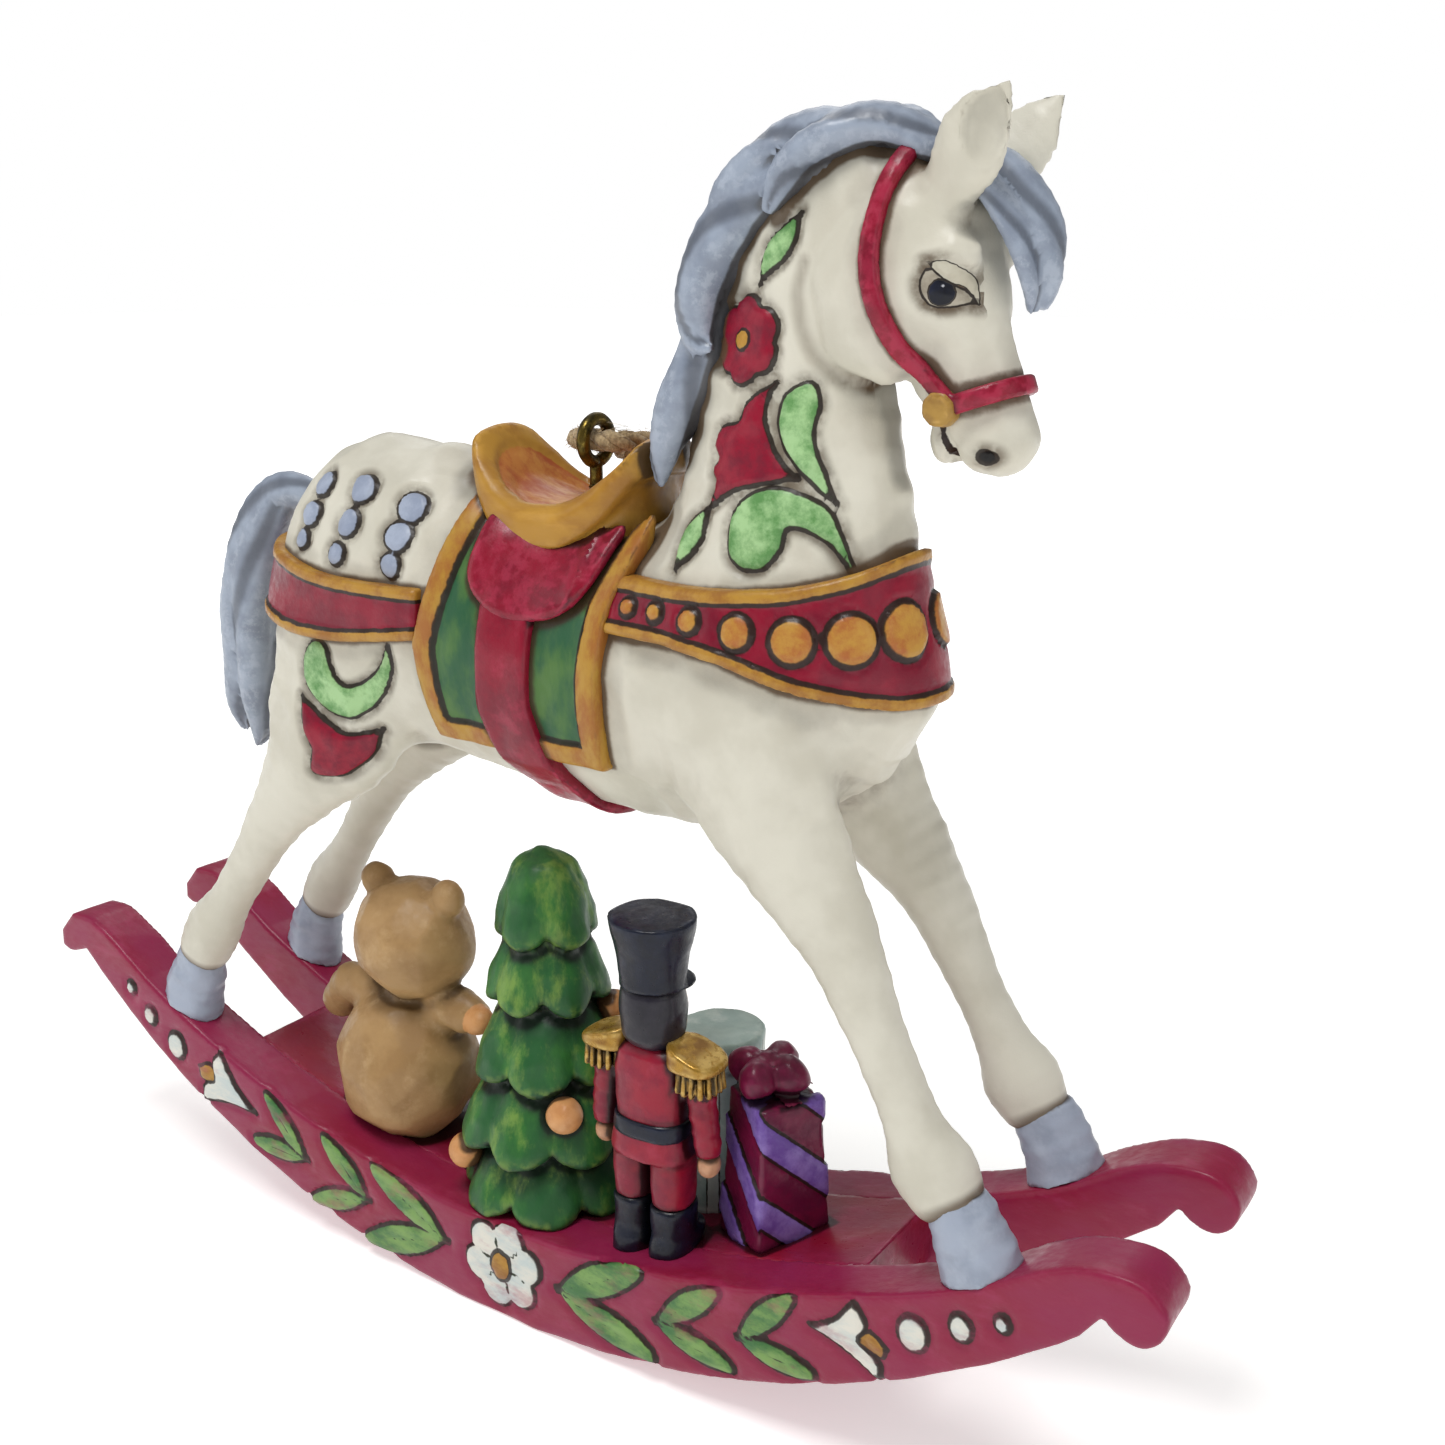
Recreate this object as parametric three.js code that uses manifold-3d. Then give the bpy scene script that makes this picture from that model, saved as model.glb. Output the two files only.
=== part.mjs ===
// A small carved and painted rocking horse ornament. Its rockers carry a deck with a teddy bear, a fir tree,
// a toy soldier and two gift boxes, and the horse stands above them with a hoof on each rocker end.
// A brass screw eye in the saddle holds a loop of jute twine.
// Millimetres, +Z up. +X is the way the horse faces and +Y is its left side.
// The origin is on the ground, under the middle of the rockers.
import * as THREE from "three";
import { mergeVertices } from "three/addons/utils/BufferGeometryUtils.js";
import Module from "manifold-3d";

const wasm = await Module();
wasm.setup();

// Driving dimensions.
const GAP = 0.3; // between pieces that touch
const FAR = 40; // past every side of the horse, for cutters
const RAIL_OUT = 11.4; // outer face of each rocker, from the middle plane
const RAIL_IN = 5.8; // inner face of each rocker
const ROCK_RADIUS = 90; // the arc that the rockers stand on
const FLAT_HALF = 5; // half the small flat under each rocker
const TOP_RADIUS = 107; // the arc along the top of the rockers and the deck
const TOP_LOW = 10; // height of that arc at the middle
const TOP_HALF = 50; // how far that arc runs each way
const DECK_HALF = 37.8; // half the deck's length
const DECK_THICK = 6;
const BLANKET = [0.3, 1.1]; // inner and outer distance of each layer from the horse's skin
const FLAP = [1.4, 2.1];
const STRAP = [0.3, 1.2];
const BRIDLE = [0.3, 1.0];
const EYE = { x: 5.6, z: 83.3, ring: 1.85, wire: 0.55, tip: 69 }; // the screw eye
const TWINE = 2.0; // twine diameter
const KNOT = new THREE.Vector3(5.6, 13.7, 54.6);

const figure = new THREE.Group();

// ---------- materials ----------
const paint = (color, roughness = 0.45, metalness = 0) =>
  new THREE.MeshStandardMaterial({ color, roughness, metalness });
const CREAM = paint(0xe4dfcf);
const GREY = paint(0x9aa3b0);
const RED = paint(0x8e1230);
const RAIL_RED = paint(0x85203f);
const GOLD = paint(0xb08a3a);
const TAN = paint(0xc08a3c);
const GREEN = paint(0x3f6b41);
const BEAR_TAN = paint(0xb3956a);
const NAVY = paint(0x161b2e, 0.35);
const BLACK = paint(0x24232c, 0.35);
const SKIN = paint(0xb98e6a);
const PURPLE = paint(0x6a4c8c);
const MINT = paint(0xa9c4bd);
const METAL = paint(0x6a5a2c, 0.35, 0.9);
const JUTE = paint(0xa08a68, 0.95);

// ---------- geometry helpers ----------
// The geometry with only its positions, and shared vertices merged.
function bare(geometry) {
  const g = geometry.clone();
  for (const name of ["normal", "uv", "uv1", "uv2"]) g.deleteAttribute(name);
  return mergeVertices(g, 1e-4);
}

function toSolid(geometry) {
  const g = bare(geometry);
  return new wasm.Manifold(
    new wasm.Mesh({
      numProp: 3,
      vertProperties: new Float32Array(g.attributes.position.array),
      triVerts: new Uint32Array(g.index.array),
    }),
  );
}

function toGeometry(solid) {
  const mesh = solid.getMesh();
  const g = new THREE.BufferGeometry();
  g.setAttribute("position", new THREE.BufferAttribute(new Float32Array(mesh.vertProperties), 3));
  g.setIndex(new THREE.BufferAttribute(new Uint32Array(mesh.triVerts), 1));
  g.computeVertexNormals();
  return g;
}

function add(name, material, shape) {
  const geometry = shape.isBufferGeometry ? shape : toGeometry(shape);
  const mesh = new THREE.Mesh(geometry, material);
  mesh.name = name;
  figure.add(mesh);
  return mesh;
}

const union = (...solids) => solids.reduce((a, b) => a.add(b));

// The geometry swollen by a distance along its normals.
function grown(geometry, distance) {
  const g = bare(geometry);
  g.computeVertexNormals();
  const p = g.attributes.position;
  const n = g.attributes.normal;
  for (let i = 0; i < p.count; i++) {
    p.setXYZ(
      i,
      p.getX(i) + n.getX(i) * distance,
      p.getY(i) + n.getY(i) * distance,
      p.getZ(i) + n.getZ(i) * distance,
    );
  }
  return g;
}

// A tapered tube through stations [x, y, z, half width across, half depth], with an oval section.
function limb(stations, sides = 12, stepsEach = 2) {
  const path = new THREE.CatmullRomCurve3(stations.map((s) => new THREE.Vector3(s[0], s[1], s[2])));
  const sizes = new THREE.CatmullRomCurve3(stations.map((s) => new THREE.Vector3(s[3], s[4], 0)));
  const g = new THREE.CylinderGeometry(1, 1, 1, sides, (stations.length - 1) * stepsEach);
  const p = g.attributes.position;
  const across = new THREE.Vector3(0, 1, 0);
  for (let i = 0; i < p.count; i++) {
    const t = THREE.MathUtils.clamp(0.5 - p.getY(i), 0, 1);
    const centre = path.getPoint(t);
    const tangent = path.getTangent(t);
    const size = sizes.getPoint(t);
    const depth = new THREE.Vector3().crossVectors(tangent, across).normalize();
    const width = new THREE.Vector3().crossVectors(depth, tangent);
    centre.addScaledVector(width, p.getX(i) * size.x);
    centre.addScaledVector(depth, p.getZ(i) * size.y);
    p.setXYZ(i, centre.x, centre.y, centre.z);
  }
  return bare(g);
}

// The same stations on the other side of the horse.
const mirrored = (stations) => stations.map((s) => [s[0], -s[1], ...s.slice(2)]);

// An outline drawn in the side view (x, z), made into a plate from y0 to y1.
function plate(shape, y0, y1, curveSegments = 6) {
  const g = new THREE.ExtrudeGeometry(shape, { depth: y1 - y0, bevelEnabled: false, curveSegments });
  return g.rotateX(Math.PI / 2).translate(0, y1, 0);
}

const outline = (points) => new THREE.Shape(points.map((q) => new THREE.Vector2(...q)));

// An outline that goes right through the horse.
const throughCut = (points) => toSolid(plate(outline(points), -FAR, FAR));

// A strip of the given half width along a side-view line.
function strip(points, half) {
  const curve = new THREE.SplineCurve(points.map((q) => new THREE.Vector2(...q)));
  const steps = (points.length - 1) * 3;
  const left = [];
  const right = [];
  for (let i = 0; i <= steps; i++) {
    const q = curve.getPoint(i / steps);
    const t = curve.getTangent(i / steps);
    left.push([q.x - t.y * half, q.y + t.x * half]);
    right.unshift([q.x + t.y * half, q.y - t.x * half]);
  }
  return [...left, ...right];
}

const box = (x0, x1, y0, y1, z0, z1) =>
  toSolid(
    new THREE.BoxGeometry(x1 - x0, y1 - y0, z1 - z0).translate(
      (x0 + x1) / 2,
      (y0 + y1) / 2,
      (z0 + z1) / 2,
    ),
  );
const rightHalf = box(-90, 90, -FAR, -0.2, -10, 130);
const leftHalf = box(-90, 90, 0.2, FAR, -10, 130);

// An upright round post.
const post = (x, y, z0, z1, r0, r1, sides = 12) =>
  new THREE.CylinderGeometry(r1, r0, z1 - z0, sides).rotateX(Math.PI / 2).translate(x, y, (z0 + z1) / 2);

const ball = (x, y, z, rx, ry, rz, across = 12, up = 8) =>
  new THREE.SphereGeometry(1, across, up).rotateX(Math.PI / 2).scale(rx, ry, rz).translate(x, y, z);

// ---------- rockers and deck ----------
const arcHeight = (x, radius, low) => low + radius - Math.sqrt(radius ** 2 - x ** 2);
const topAt = (x) => arcHeight(x, TOP_RADIUS, TOP_LOW);
const rockCentre = Math.sqrt(ROCK_RADIUS ** 2 - FLAT_HALF ** 2);
const BOTTOM_HALF = 58.2; // where each bottom arc meets the scroll
const RAIL_STEPS = 9; // straight steps in each curve of a rocker's outline

function railShape() {
  const down = -Math.PI / 2;
  const flat = Math.asin(FLAT_HALF / ROCK_RADIUS);
  const end = Math.asin(BOTTOM_HALF / ROCK_RADIUS);
  const top = Math.asin(TOP_HALF / TOP_RADIUS);
  const s = new THREE.Shape();
  s.moveTo(-FLAT_HALF, 0);
  s.lineTo(FLAT_HALF, 0);
  s.absarc(0, rockCentre, ROCK_RADIUS, down + flat, down + end, false);
  s.lineTo(59.8, 23.4);
  s.lineTo(60.8, 22.6);
  s.splineThru([[62.6, 22.1], [64.2, 23.1], [64.7, 25.2], [63.2, 27.1], [60.9, 27.6], [57.4, 26.9], [53.8, 25.0]]
    .map((q) => new THREE.Vector2(...q)));
  s.absarc(0, TOP_LOW + TOP_RADIUS, TOP_RADIUS, down + top, down - top, true);
  s.splineThru([[-54.0, 25.0], [-58.6, 27.3], [-62.3, 27.3]].map((q) => new THREE.Vector2(...q)));
  s.lineTo(-64.6, 24.9);
  s.lineTo(-64.7, 22.9);
  s.lineTo(-63.2, 22.4);
  s.lineTo(-60.4, 23.4);
  s.absarc(0, rockCentre, ROCK_RADIUS, down - end, down - flat, false);
  return s;
}

add("rocker_right", RAIL_RED, plate(railShape(), -RAIL_OUT, -RAIL_IN, RAIL_STEPS));
add("rocker_left", RAIL_RED, plate(railShape(), RAIL_IN, RAIL_OUT, RAIL_STEPS));

function deckShape() {
  const turn = Math.asin(DECK_HALF / TOP_RADIUS);
  const under = TOP_RADIUS + DECK_THICK;
  const turnUnder = Math.asin(DECK_HALF / under);
  const centre = TOP_LOW + TOP_RADIUS;
  const s = new THREE.Shape();
  s.absarc(0, centre, TOP_RADIUS, -Math.PI / 2 + turn, -Math.PI / 2 - turn, true);
  s.absarc(0, centre, under, -Math.PI / 2 - turnUnder, -Math.PI / 2 + turnUnder, false);
  return s;
}
add("deck", RAIL_RED, plate(deckShape(), -RAIL_IN + GAP, RAIL_IN - GAP, 12));

// Everything under the rockers' top faces, with the gap that pieces standing on them keep.
function groundShape() {
  const reach = 56;
  const turn = Math.asin(reach / TOP_RADIUS);
  const s = new THREE.Shape();
  s.absarc(0, TOP_LOW + TOP_RADIUS + GAP, TOP_RADIUS, -Math.PI / 2 - turn, -Math.PI / 2 + turn, false);
  s.lineTo(reach, -5);
  s.lineTo(-reach, -5);
  return s;
}
const ground = toSolid(plate(groundShape(), -FAR, FAR, 20));
const rails = toSolid(plate(railShape(), -FAR, FAR, RAIL_STEPS)).translate([0, 0, GAP]);
const standing = (solid) => solid.subtract(ground);

// ---------- horse ----------
const torso = limb([
  [-35.6, 0, 68.6, 1.5, 2.0],
  [-34.0, 0, 68.0, 5.2, 6.0],
  [-27.5, 0, 67.4, 8.8, 11.4],
  [-18.0, 0, 68.2, 9.6, 13.7],
  [-7.0, 0, 65.6, 9.2, 13.6],
  [5.0, 0, 63.2, 9.0, 13.0],
  [16.0, 0, 64.0, 9.3, 13.0],
  [26.0, 0, 65.8, 9.4, 12.4],
  [33.0, 0, 67.8, 7.0, 9.8],
  [37.0, 0, 69.4, 4.4, 6.4],
  [39.0, 0, 70.2, 1.4, 2.2],
], 18, 1);
const neck = limb([
  [25.0, 0, 68.0, 7.4, 9.6],
  [26.0, 0, 78.0, 6.6, 10.4],
  [26.2, 0, 86.0, 5.6, 8.8],
  [26.8, 0, 94.0, 5.2, 7.4],
  [29.2, 0, 101.0, 4.9, 6.2],
  [33.5, 0, 104.0, 4.4, 4.6],
  [37.0, 0, 104.6, 3.0, 3.0],
], 14, 1);
const head = limb([
  [33.6, 0, 103.6, 3.6, 4.2],
  [35.2, 0, 99.8, 5.2, 6.6],
  [37.2, 0, 95.6, 5.2, 6.4],
  [39.8, 0, 91.3, 4.3, 5.0],
  [42.0, 0, 87.8, 3.5, 4.1],
  [43.6, 0, 85.0, 3.1, 3.5],
  [44.3, 0, 83.8, 2.0, 2.2],
], 14, 1);
const horseSkin = (d) => union(toSolid(grown(torso, d)), toSolid(grown(neck, d)), toSolid(grown(head, d)));

const screwHole = toSolid(post(EYE.x, 0, EYE.tip - 1, 90, EYE.wire + GAP, EYE.wire + GAP, 12));
add("horse_body", CREAM, horseSkin(0).subtract(screwHole));

const FORELEG = [
  [24.0, 6.0, 62.0, 3.6, 7.4],
  [27.5, 6.8, 56.5, 4.1, 6.4],
  [31.2, 7.3, 51.5, 3.7, 4.8],
  [34.2, 7.7, 47.8, 3.4, 3.8],
  [37.2, 8.0, 43.0, 2.9, 2.8],
  [40.2, 8.3, 37.2, 2.4, 2.3],
  [42.6, 8.5, 32.6, 2.5, 2.5],
  [44.6, 8.6, 29.4, 2.7, 3.1],
  [46.4, 8.6, 26.9, 2.4, 2.7],
];
const HINDLEG = [
  [-22.0, 5.8, 62.0, 3.8, 9.0],
  [-24.5, 6.6, 55.5, 3.8, 7.0],
  [-27.2, 7.2, 49.6, 3.2, 4.6],
  [-29.8, 7.6, 45.2, 2.8, 3.2],
  [-33.5, 8.0, 39.8, 2.4, 2.4],
  [-37.6, 8.4, 34.0, 2.3, 2.2],
  [-40.8, 8.6, 29.8, 2.5, 2.7],
  [-43.0, 8.6, 26.4, 2.4, 2.6],
];
const FOREHOOF = [
  [47.0, 8.6, 26.5, 2.6, 3.0],
  [48.3, 8.6, 24.3, 2.7, 3.6],
  [49.6, 8.6, 21.6, 2.8, 4.0],
];
const HINDHOOF = [
  [-43.5, 8.6, 25.9, 2.6, 2.9],
  [-44.4, 8.6, 23.6, 2.7, 3.3],
  [-45.4, 8.6, 19.4, 2.8, 3.6],
];
const skinGap = horseSkin(GAP);
for (const [side, flip] of [["left", (s) => s], ["right", mirrored]]) {
  add(`foreleg_${side}`, CREAM, toSolid(limb(flip(FORELEG), 12, 1)).subtract(skinGap));
  add(`hindleg_${side}`, CREAM, toSolid(limb(flip(HINDLEG), 12, 1)).subtract(skinGap));
  const foreleg = toSolid(grown(limb(flip(FORELEG), 12, 1), GAP));
  const hindleg = toSolid(grown(limb(flip(HINDLEG), 12, 1), GAP));
  add(`forehoof_${side}`, GREY, standing(toSolid(limb(flip(FOREHOOF), 12, 1)).subtract(foreleg)).subtract(rails));
  add(`hindhoof_${side}`, GREY, standing(toSolid(limb(flip(HINDHOOF), 12, 1)).subtract(hindleg)));
}

const EAR = [
  [39.4, 3.0, 102.6, 1.5, 1.7],
  [40.8, 3.5, 105.2, 1.5, 2.1],
  [42.4, 3.8, 107.6, 1.2, 1.9],
  [43.8, 4.0, 109.9, 0.4, 0.6],
];
const bridleGap = horseSkin(BRIDLE[1] + GAP);
add("ear_left", CREAM, toSolid(limb(EAR, 8, 1)).subtract(skinGap));
add("ear_right", CREAM, toSolid(limb(mirrored(EAR), 8, 1)).subtract(skinGap));

const MANE_LOCKS = [
  [[37.0, 0.8, 106.6, 2.4, 1.5], [32.8, 1.6, 107.4, 3.0, 2.0], [28.6, 3.0, 106.0, 3.0, 2.2], [25.6, 4.2, 102.4, 1.0, 1.0]],
  [[30.6, 0.8, 105.6, 2.6, 1.9], [25.4, 1.5, 104.8, 3.0, 2.4], [21.8, 2.8, 101.8, 2.6, 2.3], [19.4, 4.0, 98.0, 1.0, 1.0]],
  [[26.6, 0.8, 103.0, 2.4, 2.0], [21.4, 1.8, 99.4, 3.2, 2.8], [18.6, 3.4, 93.0, 2.8, 2.3], [18.6, 4.6, 87.4, 0.8, 0.8]],
  [[19.8, 0.8, 95.4, 2.4, 2.0], [17.2, 2.0, 90.4, 2.5, 2.2], [15.9, 3.2, 85.6, 2.0, 1.9], [16.3, 3.8, 81.2, 0.6, 0.6]],
];
const maneSolid = union(
  ...MANE_LOCKS.map((lock) => toSolid(limb(lock, 8, 2))),
  ...MANE_LOCKS.map((lock) => toSolid(limb(mirrored(lock), 8, 2))),
);
const TAIL = [
  [-31.5, 0, 76.4, 1.8, 1.6],
  [-35.8, 0, 74.9, 2.4, 2.3],
  [-39.6, 0, 70.0, 2.8, 2.7],
  [-41.0, 0, 63.0, 3.0, 2.9],
  [-41.4, 0, 56.5, 2.8, 2.8],
  [-42.2, 0, 51.6, 2.0, 2.1],
  [-41.0, 0, 48.2, 0.6, 0.7],
];
const FORELOCK = [
  [39.2, 0, 105.4, 2.2, 1.4],
  [42.8, 0.2, 103.6, 2.7, 1.7],
  [45.3, 0.3, 100.2, 2.9, 1.6],
  [46.0, 0.3, 96.6, 2.4, 1.3],
  [45.5, 0, 94.4, 0.8, 0.6],
];
const ears = union(toSolid(grown(limb(EAR, 8, 1), GAP)), toSolid(grown(limb(mirrored(EAR), 8, 1), GAP)));
add("tail", GREY, toSolid(limb(TAIL, 12, 2)).subtract(horseSkin(STRAP[1] + GAP)));

// ---------- tack ----------
const shell = (layer, region) => horseSkin(layer[1]).subtract(horseSkin(layer[0])).intersect(region);

// The blanket lies over the back, with a gilt border down its two ends and along its lower edges.
const BORDER = 2.0;
const BLANKET_LOW = 56.8;
const blanketEdge = (inset) => [
  [-6.6 + inset, BLANKET_LOW + inset],
  [13.2 - inset, BLANKET_LOW + inset],
  [13.1 - inset, 64.8],
  [13.7 - inset, 70.8],
  [14.8 - inset, 74.8],
  [15.4 - inset, 78.4],
  [13.4 - inset, 81],
  [-2.8 + inset, 81],
  [-5.4 + inset, 71.6],
  [-7.1 + inset, 65.6],
];
const blanketOuter = throughCut(blanketEdge(0));
const blanketInner = throughCut(blanketEdge(BORDER));
add("saddle_blanket", GREEN, shell(BLANKET, throughCut(blanketEdge(BORDER + GAP))).subtract(screwHole));
add("blanket_border", GOLD, shell([BLANKET[0], BLANKET[1] + 0.2], blanketOuter.subtract(blanketInner)));

// The half-round flaps hang from under the seat on each side.
const FLAP_EDGE = [
  [-1.0, 76.2], [-1.3, 72.6], [0.4, 70.0], [4.0, 68.8], [8.8, 69.8], [12.0, 72.6], [13.4, 75.8], [13.6, 78.0], [0.0, 78.0],
];
const SEAT_SIDE = 6.2; // where a flap meets the seat, from the middle plane
const flapCut = throughCut(FLAP_EDGE);
const flaps = shell(FLAP, flapCut);
const flapZone = horseSkin(FLAP[1] + GAP).intersect(flapCut);
add("saddle_flap_right", RED, flaps.intersect(box(-20, 30, -FAR, -SEAT_SIDE, 60, 90)));
add("saddle_flap_left", RED, flaps.intersect(box(-20, 30, SEAT_SIDE, FAR, 60, 90)));

// The seat is dished, with a high cantle behind and a pommel in front.
const SEAT_PROFILE = [
  [-7.0, 71.0], [-7.2, 80.8], [-6.0, 83.0], [-3.6, 84.2], [-1.2, 83.4], [1.4, 81.0], [5.6, 79.5], [8.8, 80.2],
  [11.0, 82.8], [12.4, 84.4], [13.8, 84.2], [14.6, 82.4], [14.8, 71.0],
];
const seatPlan = toSolid(
  new THREE.CylinderGeometry(1, 1, 40, 28).rotateX(Math.PI / 2).scale(10.6, 7.4, 1).translate(4.2, 0, 80),
);
const seatBelow = union(horseSkin(FLAP[1] + GAP), toSolid(grown(limb(MANE_LOCKS[3], 8, 2), GAP)));
const seat = toSolid(plate(outline(SEAT_PROFILE), -FAR, FAR))
  .intersect(seatPlan)
  .subtract(seatBelow)
  .subtract(box(-20, 30, -FAR, FAR, 60, 75.2))
  .subtract(screwHole);
add("saddle_seat", TAN, seat);

const seatGap = toSolid(grown(toGeometry(seat), GAP));
add("mane", GREY, maneSolid.subtract(skinGap).subtract(bridleGap.intersect(box(33, 40, -FAR, FAR, 85, 107)))
  .subtract(ears).subtract(seatGap).subtract(horseSkin(BLANKET[1] + 0.2 + GAP).intersect(throughCut(blanketEdge(-GAP)))));
add("forelock", GREY, toSolid(limb(FORELOCK, 10, 2)).subtract(skinGap).subtract(ears)
  .subtract(toSolid(grown(toGeometry(maneSolid), GAP))));

// The girth runs from flap to flap under the belly.
const GIRTH_EDGE = [
  [0.6, 74], [0.1, 61], [0.9, 56.4], [2.6, 52.6], [4.4, 46], [11.6, 46], [8.4, 52.8], [6.8, 56.6], [5.8, 61.8], [6.1, 74],
];
add(
  "girth_strap",
  RED,
  shell([STRAP[0], FLAP[1]], throughCut(GIRTH_EDGE))
    .subtract(horseSkin(BLANKET[1] + 0.2 + GAP).intersect(throughCut(blanketEdge(-GAP))))
    .subtract(horseSkin(FLAP[1] + GAP).intersect(throughCut(FLAP_EDGE.map(([x, z]) => [x, z - GAP]))))
    .subtract(box(-20, 30, -FAR, FAR, 71, 100)),
);

// The breast collar and the breeching run round the chest and the rump, from the blanket's ends.
const COLLAR_EDGE = [
  [13.6, 69.0], [17.8, 68.4], [22.7, 67.8], [28.4, 66.4], [33, 65.2], [38, 64.6], [42, 66], [42, 78.2],
  [38, 76.2], [34.5, 74.8], [28.3, 73.6], [22.8, 73.3], [14.6, 73.3],
];
const blanketZone = throughCut(blanketEdge(-GAP));
add("breast_collar", RED, shell(STRAP, throughCut(COLLAR_EDGE)).subtract(blanketZone));
const BREECHING_EDGE = [
  [-7.5, 70.2], [-13.7, 70.3], [-18.9, 70.8], [-24, 72.0], [-29, 73.4], [-38, 75.4], [-38, 66.6],
  [-30, 65.2], [-24, 64.3], [-19.5, 64.0], [-14.2, 64.5], [-7.6, 65.6],
];
add("breeching_strap", RED, shell(STRAP, throughCut(BREECHING_EDGE)).subtract(blanketZone));

// The bridle has a noseband, a cheek strap on each side and a rosette where they meet.
const headAngle = Math.atan2(2.2, 3.5); // the nose slopes forward this much from straight down
const noseSlab = toSolid(
  new THREE.BoxGeometry(30, 30, 1.8).rotateY(-headAngle).translate(42.2, 0, 88.2),
);
const rosette = (side) =>
  new THREE.CylinderGeometry(1.7, 1.9, 1.5, 10).rotateX((side * Math.PI) / 2).translate(40.4, side * 4.9, 88.0);
const rosettes = union(toSolid(grown(rosette(-1), GAP)), toSolid(grown(rosette(1), GAP)));
const headSkin = (d) => toSolid(grown(head, d));
add("noseband", RED, headSkin(BRIDLE[1]).subtract(headSkin(BRIDLE[0])).intersect(noseSlab).subtract(rosettes));
const CHEEK_LINE = [[36.4, 104.4], [35.4, 101.6], [35.0, 98.4], [36.0, 94.8], [38.0, 91.4], [40.2, 88.6]];
const cheekStraps = shell(BRIDLE, throughCut(strip(CHEEK_LINE, 0.85))).subtract(rosettes);
for (const [side, half, sign] of [["right", rightHalf, -1], ["left", leftHalf, 1]]) {
  const clear = box(20, 60, sign < 0 ? -FAR : 2.6, sign < 0 ? -2.6 : FAR, 80, 120);
  add(`cheek_strap_${side}`, RED, cheekStraps.intersect(half).intersect(clear).subtract(ears));
  add(`bridle_rosette_${side}`, GOLD, toSolid(rosette(sign)).subtract(horseSkin(GAP)));
}

// ---------- screw eye and twine ----------
const eyeRing = new THREE.TorusGeometry(EYE.ring, EYE.wire, 8, 20).rotateY(Math.PI / 2).translate(EYE.x, 0, EYE.z);
const shankTop = EYE.z - EYE.ring;
add(
  "screw_eye",
  METAL,
  union(
    toSolid(eyeRing),
    toSolid(post(EYE.x, 0, EYE.tip + 2, shankTop, EYE.wire, EYE.wire, 10)),
    toSolid(post(EYE.x, 0, EYE.tip, EYE.tip + 2, 0.12, EYE.wire, 10)),
  ),
);

// The twine goes through the ring along X, and both legs hang down the horse's left side to the knot.
const LEG_ROUTE = [
  [1.5, 0.1, 83.3], [2.8, 1.1, 83.2], [3.1, 3.4, 83], [3.1, 6.4, 82.4], [3.1, 9.4, 80.6],
  [3.1, 11.8, 77.2], [2.9, 13.2, 72], [2.4, 13.7, 67], [1.8, 13.8, 62.4], [1.2, 13.8, 58.2],
];
const route = [
  ...LEG_ROUTE.map(([x, y, z]) => new THREE.Vector3(EYE.x - x, y, z)).reverse(),
  ...LEG_ROUTE.map(([x, y, z]) => new THREE.Vector3(EYE.x + x, y, z)),
];
const circle = new THREE.Shape().absarc(0, 0, TWINE / 2, 0, Math.PI * 2);
add(
  "twine_loop",
  JUTE,
  bare(new THREE.ExtrudeGeometry(circle, {
    steps: 54,
    curveSegments: 4,
    extrudePath: new THREE.CatmullRomCurve3(route),
  })),
);
add("twine_knot", JUTE, ball(KNOT.x, KNOT.y, KNOT.z, 2.6, 2.0, 3.0, 10, 8));

// ---------- teddy bear ----------
const BEAR_X = -18.6;
const BEAR_Y = -2.2;
const bearBody = toSolid(ball(BEAR_X, BEAR_Y, 18.4, 6.7, 6.4, 7.6, 14, 10));
const bearHead = union(
  toSolid(ball(BEAR_X + 0.5, BEAR_Y, 32.2, 5.9, 5.6, 6.0, 14, 10)),
  toSolid(ball(BEAR_X + 0.5, BEAR_Y + 5.2, 30.6, 2.5, 2.2, 2.1, 8, 6)),
  toSolid(ball(BEAR_X - 3.7, BEAR_Y, 37.2, 2.0, 1.4, 2.0, 8, 6)),
  toSolid(ball(BEAR_X + 4.9, BEAR_Y, 37.0, 2.0, 1.4, 2.0, 8, 6)),
);
const bodyGap = toSolid(ball(BEAR_X, BEAR_Y, 18.4, 6.7 + GAP, 6.4 + GAP, 7.6 + GAP, 14, 10));
add("bear_body", BEAR_TAN, standing(bearBody));
add("bear_head", BEAR_TAN, bearHead.subtract(bodyGap));
const headGap = toSolid(grown(toGeometry(bearHead), GAP));
// The right arm is held out level and the left one hangs lower.
for (const [side, sign, drop] of [["right", 1, 0], ["left", -1, 3.4]]) {
  const arm = limb([
    [BEAR_X + sign * 4.0, BEAR_Y, 24.8, 2.4, 2.2],
    [BEAR_X + sign * 6.6, BEAR_Y + 0.4, 25.3 - drop * 0.2, 2.3, 2.2],
    [BEAR_X + sign * 8.8, BEAR_Y + 1.0, 25.2 - drop * 0.7, 2.1, 2.0],
    [BEAR_X + sign * 9.9, BEAR_Y + 1.3, 24.9 - drop, 1.0, 0.9],
  ], 10, 1);
  const leg = limb([
    [BEAR_X + sign * 3.2, BEAR_Y + 3.6, 15.2, 2.2, 2.2],
    [BEAR_X + sign * 4.2, BEAR_Y + 6.6, 14.6, 2.4, 2.4],
    [BEAR_X + sign * 4.5, BEAR_Y + 9.2, 14.6, 2.3, 2.6],
    [BEAR_X + sign * 4.6, BEAR_Y + 10.0, 14.6, 1.4, 1.6],
  ], 10, 1);
  add(`bear_arm_${side}`, BEAR_TAN, toSolid(arm).subtract(bodyGap).subtract(headGap));
  add(`bear_leg_${side}`, BEAR_TAN, standing(toSolid(leg)).subtract(bodyGap));
}

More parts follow.
